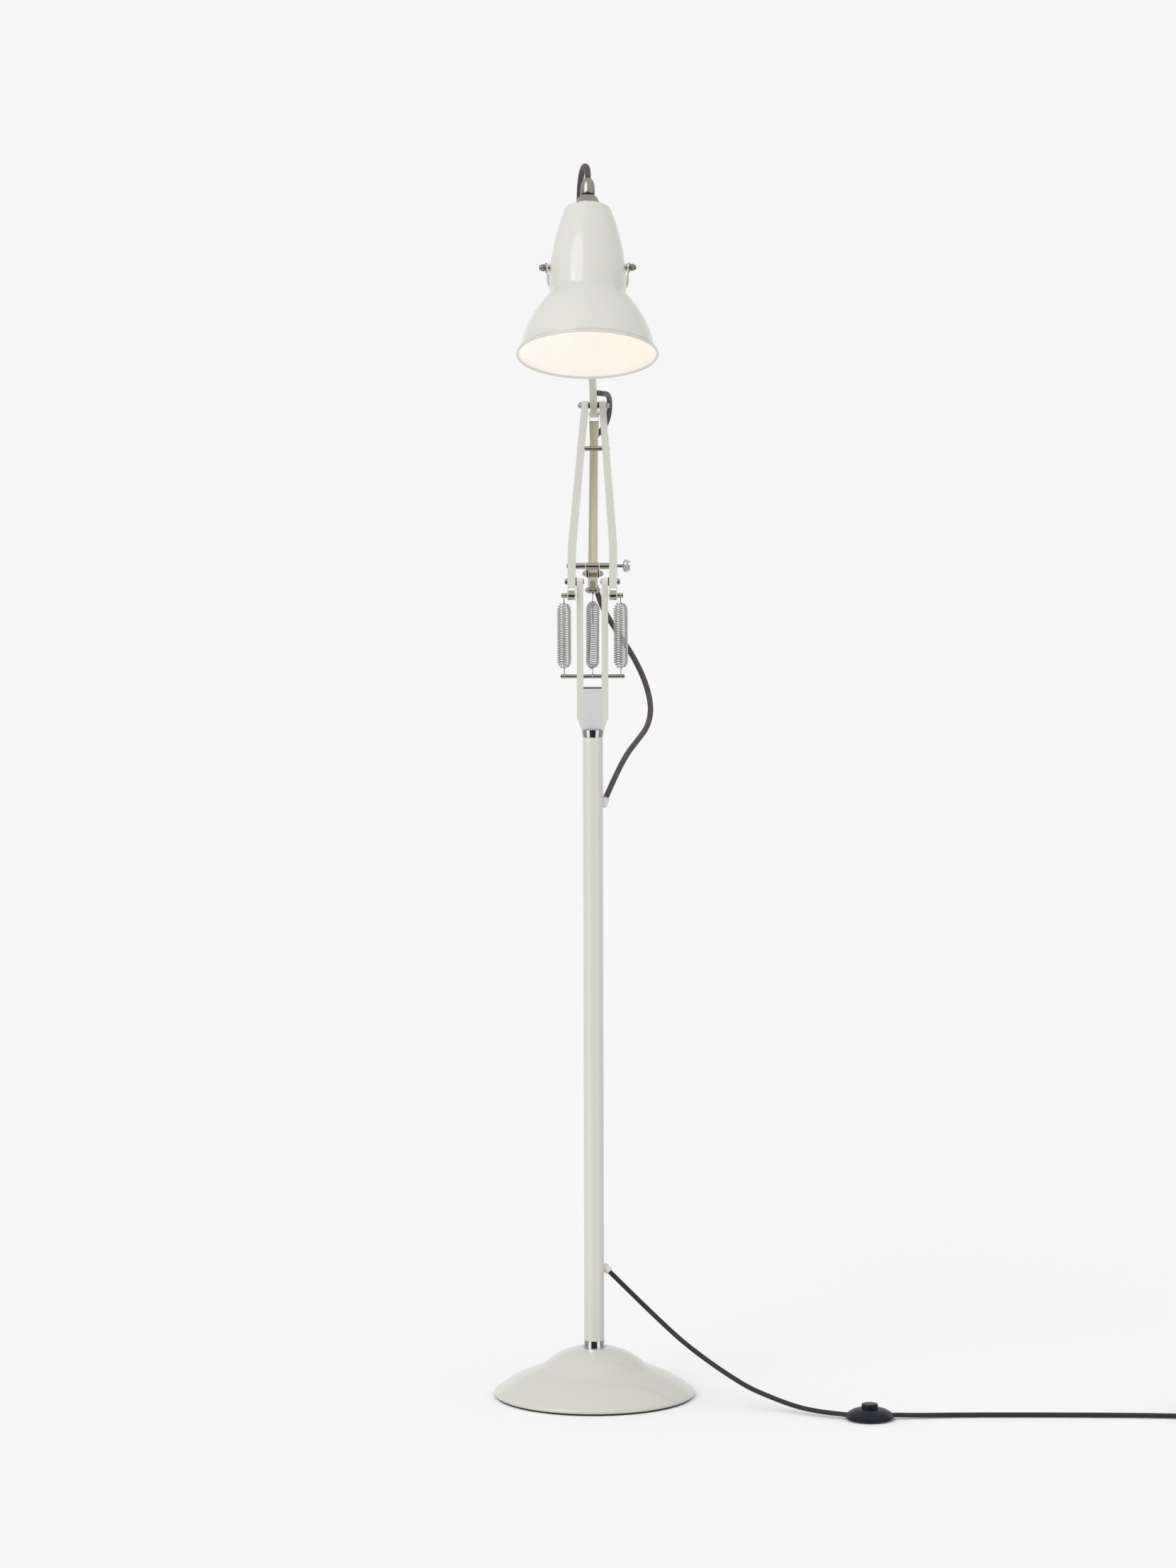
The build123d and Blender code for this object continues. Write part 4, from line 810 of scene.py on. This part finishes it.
def spring_pieces(paint, springs):
    """Three coil springs of real wire, with hooks round the bar, the studs and the link's pin."""
    steel = turned_metal("spring wire steel", paint.wire, 0.2)
    hook = springs.hook_wire / 2
    eye_radius = 1.9 * MM + hook
    for name, side in (("outer_spring_left", -1), ("outer_spring_right", 1)):
        foot = BAR + ACROSS * (side * springs.offset)
        head = Vector((side * springs.offset, STUDS.y, STUDS.z))
        path, radii = spring_path(
            springs, foot, head, springs.outer_radius, springs.high_hook, springs.turns, eye_radius, True
        )
        piece = mesh_piece(name, tube_mesh(path, radii), steel)
        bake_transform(piece)
        if side > 0:
            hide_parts("outer_springs")
    foot = Vector((0, BAR.y, BAR.z))
    head = Vector((0, HOOK_PIN.y, HOOK_PIN.z))
    high, turns = springs.centre_hook, springs.centre_turns
    path, radii = spring_path(springs, foot, head, springs.centre_radius, high, turns, eye_radius, False)
    coil = mesh_piece("centre_spring_coil", tube_mesh(path, radii), steel)
    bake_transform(coil)
    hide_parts("centre_spring")
    axis = (head - foot).normalized()
    pin_eye = 1.7 * MM + hook
    reach = springs.centre_hook + HOOK_INSIDE
    shank = [head - axis * (reach - (reach - pin_eye) * share / 8) for share in range(9)]
    path = shank + eye(head, -pin_eye, axis, axis.cross(ACROSS), reversed(EYE_ANGLES))
    mesh_piece("centre_spring_hook", tube_mesh(path, [hook] * len(path)), steel, "link")


# -------- nuts
def hexagon(angle):
    """Reach of a hexagon of unit apothem at an angle."""
    within = (angle + math.pi / 6) % (math.pi / 3) - math.pi / 6
    return 1 / math.cos(within)


def acorn_nut_mesh(place, width, length):
    """Domed nut: a chamfered hexagon with a rounded cap."""
    apothem = width / 2
    flat = length * 0.5
    tip = 0.02 * MM
    outline = [(tip, 0), (apothem * 0.92, 0), (apothem, length * 0.06), (apothem, flat)]
    outline.append((apothem * 0.9, flat + length * 0.04))
    hex_share = [0, 0.4, 1, 1, 0.15]
    cap_steps = 6
    for step in range(cap_steps + 1):
        angle = math.pi / 2 * step / cap_steps
        reach = apothem * 0.84 * math.cos(angle) + tip
        outline.append((reach, flat + length * (0.06 + 0.44 * math.sin(angle))))
        hex_share.append(0)
    return turned_mesh(outline, place, 48, shape=lambda index, a: 1 + (hexagon(a) - 1) * hex_share[index])


def nut_pair(name, node, body, width, length, material):
    """Two domed nuts that face outward at the ends of a pin."""
    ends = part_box(node)[1].x
    middle = centre(node)
    parts = []
    for side in (-1, 1):
        seat = Vector((side * (ends - length), middle.y, middle.z))
        parts.append(acorn_nut_mesh(placed(seat, (0, 0, 1), (side, 0, 0)), width, length))
    mesh_piece(name, joined_meshes(parts), material, body, node)


def shade_bolt_nuts(material):
    """Wide washer, collar and domed nut on each of the shade's pivot bolts."""
    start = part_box("shade_pivot_nuts")[1].x - 8.9 * MM
    washer = in_metres([(0.02, 0), (5.9, 0), (6.2, 0.3), (6.2, 1.1), (5.9, 1.4), (0.02, 1.4)])
    collar = in_metres([(0.02, 1.4), (3.6, 1.4), (3.6, 2.3), (0.02, 2.3)])
    parts = []
    for side in (-1, 1):
        place = placed(SHADE_PIVOT + ACROSS * (side * start), (0, 0, 1), (side, 0, 0))
        parts.append(turned_mesh(washer, place, 48))
        parts.append(turned_mesh(collar, place, 48))
        parts.append(acorn_nut_mesh(place @ Matrix.Translation((0, 0, 2.3 * MM)), 8.2 * MM, 6.6 * MM))
    shape = joined_meshes(parts)
    mesh_piece("shade_bolt_nuts", shape, material, "yoke", "shade_pivot_nuts")


def nut_pieces(paint):
    """Domed nuts at the elbow, the rocker, the link's pin and the shade's bolts."""
    nickel = turned_metal("nut plate", scaled(paint.nickel, 1.1), 0.14)
    nut_pair("elbow_dome_nuts", "elbow_nuts", "lower_arm", 8.4 * MM, 5.0 * MM, nickel)
    nut_pair("rocker_dome_nuts", "rocker_nuts", "rocker", 7.4 * MM, 4.6 * MM, nickel)
    nut_pair("hook_pin_dome_nuts", "hook_pin_nuts", "link", 6.4 * MM, 3.7 * MM, nickel)
    # Painted shade: the nickel darkened on the shade's bolt nuts, standing in for the dark reflections they
    # show.
    shade_bolt_nuts(turned_metal("nickel with painted shade", scaled(paint.nickel, 0.6), 0.16))


# -------- cords
def path_length(path):
    """Length along a path."""
    return sum((after - before).length for before, after in zip(path, path[1:]))


def split_at(path, test):
    """Two paths that share the first point that passes the test."""
    index = next(i for i, point in enumerate(path) if test(point))
    return path[: index + 1], path[index:]


def arm_cables(paint, cords, shade):
    """Cables of the arms, in stretches that are split where they pass a joint."""
    material = sheath("cable sheath", paint.cable, 0.38)
    radius = cords.cable_radius
    head = nurbs_path(head_route(shade_frame_of(shade), shade.cord_exit))
    loop, drop = split_at(head, lambda point: point.z < YOKE_HEIGHT and point.y > LOOP_CREST)
    elbow = nurbs_path(elbow_route(cords))
    top, rest = split_at(nurbs_path(lower_route(cords)), lambda point: point.z < ARM_HEIGHT)
    middle, foot = split_at(rest, lambda point: point.z < FORK_HEIGHT)
    stretches = (
        ("head_cable_loop", loop, "shade", "yoke", "hanging", "head_cable"),
        ("head_cable_drop", drop, "yoke", "upper_arm", "hanging", None),
        ("elbow_cable_loop", elbow, "upper_arm", "link", "loose", "elbow_cable"),
        ("lower_cable_top", top, "rocker", "lower_arm", "hanging", "lower_cable"),
        ("lower_cable_middle", middle, "lower_arm", "fork", "hanging", None),
        ("lower_cable_foot", foot, "fork", "root", "hanging", None),
    )
    for name, path, first_body, second_body, lay, stands_for in stretches:
        shape = tube_mesh(path, [radius] * len(path), 16)
        piece = mesh_piece(name, shape, material, stands_for=stands_for)
        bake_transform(piece)
        path_length(path)
    dress("link_cable", material)


def mains_lead(paint, cords):
    """Mains lead from the stem through the foot switch, coiled out of the way, with its plug."""
    points = lead_route(cords)
    lead = nurbs_object("mains_lead_cord", points, cords.lead_radius)
    lead.data.materials.append(sheath("lead sheath", paint.lead, 0.36))
    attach(lead, "root")
    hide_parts("mains_lead", "mains_coil")
    length = path_length(nurbs_path(points))


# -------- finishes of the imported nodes
BASE_PAINTED_SHADE = 0.92  # share of the cream's brightness kept on the base: painted shade, the same paint darkened
ARM_PAINTED_SHADE = 0.9  # share of the cream's brightness kept on the arms: painted shade, the same paint darkened
CHANNEL_DEPTH = (0, 0.819152, -0.573576)  # from the link's back to its open front
CHANNEL_HALF = 5.6 * MM  # half the width inside the link's channel
CHANNEL_BACK = 4.5 * MM  # from the rocker's pin to the channel's floor


def dress(nodes, material):
    """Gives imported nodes, named in one line of words, their finish."""
    for node in nodes.split():
        NODES[node].data.materials.clear()
        NODES[node].data.materials.append(material)


def frame_finishes(paint):
    """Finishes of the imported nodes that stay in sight."""
    dress("stem_tube fork rocker_cheeks shade_yoke", gloss_paint("cream gloss paint", paint.cream))
    # Painted shade: the arms get the cream paint darkened.
    arm_coat_with_painted_shade = gloss_paint("arm gloss paint", scaled(paint.cream, ARM_PAINTED_SHADE))
    dress("lower_arm_left lower_arm_right upper_arm", arm_coat_with_painted_shade)
    back = ROCKER_PIN.dot(Vector(CHANNEL_DEPTH)) - CHANNEL_BACK
    # Painted shade inside the link's channel.
    channel = channel_shade_paint(
        "link channel painted shade", paint.cream, paint.channel_shade, CHANNEL_HALF, CHANNEL_DEPTH, back
    )
    dress("tension_link", channel)
    dress("base_collar stem_collar clamp_knob", plated("bright chrome", paint.chrome, 0.04, 0.05))
    dress("name_plate", plate_with_painted_lip_light("satin plate"))
    nickel = turned_metal("nickel plate", paint.nickel, 0.16)
    dress("spring_bar main_pivot_bolts spring_barrels spring_studs clamp_sleeves clamp_axle", nickel)
    dress("spacer_rod elbow_axle rocker_bush rocker_pin link_pin spring_hook_pin", nickel)
    dress("shade_pivot_bolts shade_pivot_spacers", nickel)
    dress("stem_plug fork_spindle yoke_spindle arm_socket", nickel)
    nylon = moulding("black nylon", paint.black, 0.42)
    dress("main_pivot_washers elbow_washers rocker_washers stem_bush", nylon)
    dress("base_pad", moulding("black rubber", scaled(paint.black, 1.4), 0.62, 0.3))
    dress("stem_grommets", moulding("cream grommet nylon", paint.cream, 0.4))
    dress("base_weight", moulding("cast iron", (0.1, 0.1, 0.1), 0.6, 0.6))
    switch = moulding("switch moulding", paint.switch, 0.3, grain=0.05, coat=0.06, shine=0.22)
    dress("foot_switch_base foot_switch_cover foot_switch_button", switch)
    dress("mains_plug", moulding("plug moulding", scaled(paint.lead, 0.9), 0.4))
    dress("bulb_glass", lit_glass("lamp glass", paint))
    dress("bulb_cap", turned_metal("lamp cap", (0.75, 0.74, 0.7), 0.25))


# -------- lampholder and base
# Closed outlines of the turned parts on the shade's crown: radius and height above the crown.
HOLDER_CAP = (
    (11.95, 0.05), (16.4, 0.05), (16.7, 0.5), (16.6, 2.8), (15.9, 4.6), (14.6, 5.8), (13.6, 6.6), (13.2, 8.4),
    (12.2, 10.8), (10.8, 12.8), (9.3, 13.9), (8.4, 14.2), (3.1, 14.2), (3.1, 12.2), (11.95, 4.8),
)
HOLDER_BODY = (
    (14.2, -47.45), (18.2, -47.45), (19.0, -46.65), (19.0, -1.25), (11.9, -1.25), (11.9, 4.8), (7.6, 11.7),
    (7.4, 17.0), (3.0, 17.0), (3.0, -12.2), (14.2, -12.2),
)
CABLE_GRIP = (
    (3.65, 16.0), (8.1, 16.0), (8.5, 16.4), (8.6, 17.8), (8.6, 20.8), (8.4, 25.8), (8.0, 29.4), (7.2, 32.2),
    (6.1, 34.4), (4.9, 36.2), (4.3, 37.0), (3.65, 37.3),
)


def holder_pieces(paint, shade):
    """Lampholder with its stepped cap on the crown, and the cable's grip."""
    place = shade_frame_of(shade) @ Matrix.Translation((0, 0, shade.length))
    plate = turned_metal("holder plate", paint.holder, 0.2)
    resin = moulding("holder resin", paint.black, 0.42)
    pieces = (
        ("holder_cap", HOLDER_CAP, plate, "chrome_trim", "lampholder_flange"),
        ("lampholder_body", HOLDER_BODY, resin, "holder_resin", "lampholder"),
        ("cable_grip", CABLE_GRIP, plate, "plated_steel", "cord_grip"),
    )
    for name, outline, material, slot, node in pieces:
        shape = turned_mesh(in_metres(outline), place, closed=True)
        mesh_piece(name, shape, material, "shade", node)


def base_cover(paint):
    """Spun base cover: a domed middle that flows into a wide dished skirt with a small lip."""
    low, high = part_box("base_shell")
    rim = high.x
    top = high.z
    bore = 13.1 * MM
    sheet = 1.9 * MM
    outline = [(bore, top), (19 * MM, top)]
    outline += arc(outline[-1], (46 * MM, 54.4 * MM), (65.5 * MM, 40.6 * MM), 24)
    outline += arc(outline[-1], (70.6 * MM, 37.0 * MM), (76.0 * MM, 34.4 * MM), 8)
    outline += arc(outline[-1], (103 * MM, 23.3 * MM), (rim - 1.6 * MM, 7.6 * MM), 24)
    outline += arc(outline[-1], (rim - 0.4 * MM, 5.9 * MM), (rim, 4.6 * MM), 5)
    outline += [(rim, low.z + 0.9 * MM), (rim - 0.9 * MM, low.z)]
    inside = [(radius - sheet, max(height - sheet, low.z)) for radius, height in outline[2:-1]]
    ring = outline + inside[::-1] + [(bore, top - sheet)]
    shape = turned_mesh(ring, Matrix.Identity(4), 192, closed=True)
    # Painted shade: the base gets the cream paint darkened.
    coat = gloss_paint("base gloss paint", scaled(paint.cream, BASE_PAINTED_SHADE))
    mesh_piece("base_cover", shape, coat, "root", "base_shell")


# -------- stage
# Brightness of the cards that metal mirrors, from the front (0) round either side to the back (1).
CARDS = (
    (0.0, 0.03), (0.17, 0.03), (0.2, 1.0), (0.34, 1.0),
    (0.39, 0.3), (0.6, 0.3), (0.85, 0.9), (1.0, 0.92),
)
ABOVE = 0.66  # brightness that metal mirrors from above
BELOW = 0.8  # and from below
WINDOW = 4.0  # extra brightness of the window on the left


def studio_world(stage):
    """Even light for the surfaces, a pale backdrop for the eye, and dark cards and soft boxes for metal."""
    world = bpy.data.worlds.new("studio")
    bpy.context.scene.world = world
    nodes = Finish(world)
    east = nodes.parts(nodes.node("ShaderNodeTexCoord", output="Generated"))
    north = east.other("Y")
    height = east.other("Z")
    camera_ray = nodes.node("ShaderNodeLightPath", output="Is Camera Ray")
    glossy = camera_ray.other("Is Glossy Ray")
    seen = camera_ray + camera_ray.other("Is Transmission Ray")
    soft = east * -0.1 + north * -0.12 + height * 0.1 + stage.ambient
    bearing = east.maths("ARCTAN2", north * -1)
    turn = bearing.maths("ABSOLUTE") / math.pi
    cards = nodes.node("ShaderNodeValToRGB", {"stops": CARDS}, {0: turn})
    above = height.rising(0.26, 0.4)
    below = (height * -1).rising(0.55, 0.9)
    mirrored = cards * (1 - above) * (1 - below) + above * ABOVE + below * BELOW
    window = bearing.rising(-0.95, -0.92) * (1 - bearing.rising(-0.75, -0.72))
    window = window * height.rising(0.43, 0.455) * (1 - height.rising(0.535, 0.555))
    mirrored = mirrored + window * WINDOW
    value = seen * stage.background + (1 - seen) * (glossy * mirrored + (1 - glossy) * soft)
    light = nodes.node("ShaderNodeBackground", {}, {"Color": value, "Strength": 1.0})
    nodes.ended(light, "ShaderNodeOutputWorld")


def studio_floor(stage):
    """Wide pale floor that keeps the lamp's shadow."""
    finish = new_finish("studio floor")
    grain = finish.noise(scale=40, detail=2)
    tone = finish.mixed(grain, (stage.floor - 0.003,) * 3, (stage.floor + 0.003,) * 3)
    material = finish.ended(finish.node("ShaderNodeBsdfDiffuse", {}, {"Color": tone, "Roughness": 0.0}))
    reach = 60.0
    corners = [(-reach, -reach, 0), (reach, -reach, 0), (reach, reach, 0), (-reach, reach, 0)]
    floor = mesh_piece("studio_floor", (corners, [(0, 1, 2, 3)]), material)
    floor.location.z = -0.2 * MM
    floor.visible_glossy = False


def studio_light(stage):
    """Large soft key light from the upper left of the front."""
    light = bpy.data.lights.new("key", "SUN")
    light.energy = stage.sun
    light.angle = math.radians(35)
    light.specular_factor = 0.0
    lamp = bpy.data.objects.new("key", light)
    bpy.context.scene.collection.objects.link(lamp)
    lamp.rotation_mode = "QUATERNION"
    lamp.rotation_quaternion = Vector((-0.5, -0.6, 0.65)).to_track_quat("Z", "Y")


def studio_camera(stage):
    """Camera a little above the arms' pivot, 5 m in front."""
    stand = (0.073, -5.0, 1.0723)
    yaw = math.radians(0.9085)
    dip = math.radians(3.197)
    roll = math.radians(0.149)
    forward = Vector((-math.sin(yaw) * math.cos(dip), math.cos(yaw) * math.cos(dip), -math.sin(dip)))
    level = Vector((math.cos(yaw), math.sin(yaw), 0))
    upright = level.cross(forward)
    right = level * math.cos(roll) - upright * math.sin(roll)
    up = level * math.sin(roll) + upright * math.cos(roll)
    data = bpy.data.cameras.new("camera")
    data.lens = stage.lens
    data.sensor_width = 36
    data.sensor_fit = "AUTO"
    data.clip_end = 200
    camera = bpy.data.objects.new("camera", data)
    bpy.context.scene.collection.objects.link(camera)
    turn = Matrix((right, up, -forward)).transposed().to_4x4()
    camera.matrix_world = Matrix.Translation(stand) @ turn
    bpy.context.scene.camera = camera


# -------- operators
class LAMP_OT_stage(bpy.types.Operator):
    """Makes the camera, the backdrop, the light and the floor"""

    bl_idname = "lamp.stage"
    bl_label = "Stage"

    def execute(self, context):
        stage = context.scene.lamp_stage
        studio_camera(stage)
        studio_world(stage)
        studio_light(stage)
        studio_floor(stage)
        context.scene.view_settings.view_transform = "Standard"
        return {"FINISHED"}


class LAMP_OT_lead(bpy.types.Operator):
    """Lays the mains lead"""

    bl_idname = "lamp.lead"
    bl_label = "Mains lead"

    def execute(self, context):
        mains_lead(context.scene.lamp_paint, context.scene.lamp_cords)
        return {"FINISHED"}


class LAMP_OT_finishes(bpy.types.Operator):
    """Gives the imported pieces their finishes"""

    bl_idname = "lamp.finishes"
    bl_label = "Finishes"

    def execute(self, context):
        frame_finishes(context.scene.lamp_paint)
        return {"FINISHED"}


class LAMP_OT_cables(bpy.types.Operator):
    """Hangs the cables of the arms"""

    bl_idname = "lamp.cables"
    bl_label = "Cables"

    def execute(self, context):
        scene = context.scene
        arm_cables(scene.lamp_paint, scene.lamp_cords, scene.lamp_shade)
        return {"FINISHED"}


class LAMP_OT_shade(bpy.types.Operator):
    """Spins the shade and its lining"""

    bl_idname = "lamp.shade"
    bl_label = "Shade"

    def execute(self, context):
        shade_pieces(context.scene.lamp_paint, context.scene.lamp_shade)
        return {"FINISHED"}


class LAMP_OT_springs(bpy.types.Operator):
    """Winds the springs"""

    bl_idname = "lamp.springs"
    bl_label = "Springs"

    def execute(self, context):
        spring_pieces(context.scene.lamp_paint, context.scene.lamp_springs)
        return {"FINISHED"}


class LAMP_OT_nuts(bpy.types.Operator):
    """Makes the domed nuts"""

    bl_idname = "lamp.nuts"
    bl_label = "Nuts"

    def execute(self, context):
        nut_pieces(context.scene.lamp_paint)
        return {"FINISHED"}


class LAMP_OT_holder(bpy.types.Operator):
    """Makes the lampholder, its cap and the cable's grip"""

    bl_idname = "lamp.holder"
    bl_label = "Lampholder"

    def execute(self, context):
        holder_pieces(context.scene.lamp_paint, context.scene.lamp_shade)
        return {"FINISHED"}


class LAMP_OT_base(bpy.types.Operator):
    """Spins the base's cover"""

    bl_idname = "lamp.base"
    bl_label = "Base cover"

    def execute(self, context):
        base_cover(context.scene.lamp_paint)
        return {"FINISHED"}


STEPS = (
    LAMP_OT_stage,
    LAMP_OT_lead,
    LAMP_OT_finishes,
    LAMP_OT_cables,
    LAMP_OT_shade,
    LAMP_OT_springs,
    LAMP_OT_nuts,
    LAMP_OT_holder,
    LAMP_OT_base,
)
GROUPS = {
    "lamp_paint": LampPaint,
    "lamp_shade": LampShade,
    "lamp_springs": LampSprings,
    "lamp_cords": LampCords,
    "lamp_stage": LampStage,
}


class LAMP_PT_panel(bpy.types.Panel):
    """Lists the lamp's steps and its sizes and colours"""

    bl_idname = "LAMP_PT_panel"
    bl_label = "Arm floor lamp"
    bl_space_type = "VIEW_3D"
    bl_region_type = "UI"
    bl_category = "Lamp"

    def draw(self, context):
        for step in STEPS:
            self.layout.operator(step.bl_idname)
        for group in GROUPS:
            box = self.layout.box()
            settings = getattr(context.scene, group)
            for name in settings.bl_rna.properties.keys():
                if name not in ("rna_type", "name"):
                    box.prop(settings, name)


def register():
    """Registers the classes and the scene's settings."""
    for name, group in GROUPS.items():
        bpy.utils.register_class(group)
        setattr(bpy.types.Scene, name, bpy.props.PointerProperty(type=group))
    for step in STEPS:
        bpy.utils.register_class(step)
    bpy.utils.register_class(LAMP_PT_panel)


def unregister():
    """Takes them away again."""
    bpy.utils.unregister_class(LAMP_PT_panel)
    for step in reversed(STEPS):
        bpy.utils.unregister_class(step)
    for name, group in GROUPS.items():
        delattr(bpy.types.Scene, name)
        bpy.utils.unregister_class(group)


def main():
    """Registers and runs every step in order."""
    register()
    bpy.ops.lamp.stage()
    bpy.ops.lamp.lead()
    bpy.ops.lamp.finishes()
    bpy.ops.lamp.cables()
    bpy.ops.lamp.shade()
    bpy.ops.lamp.springs()
    bpy.ops.lamp.nuts()
    bpy.ops.lamp.holder()
    bpy.ops.lamp.base()


if __name__ == "__main__":
    main()
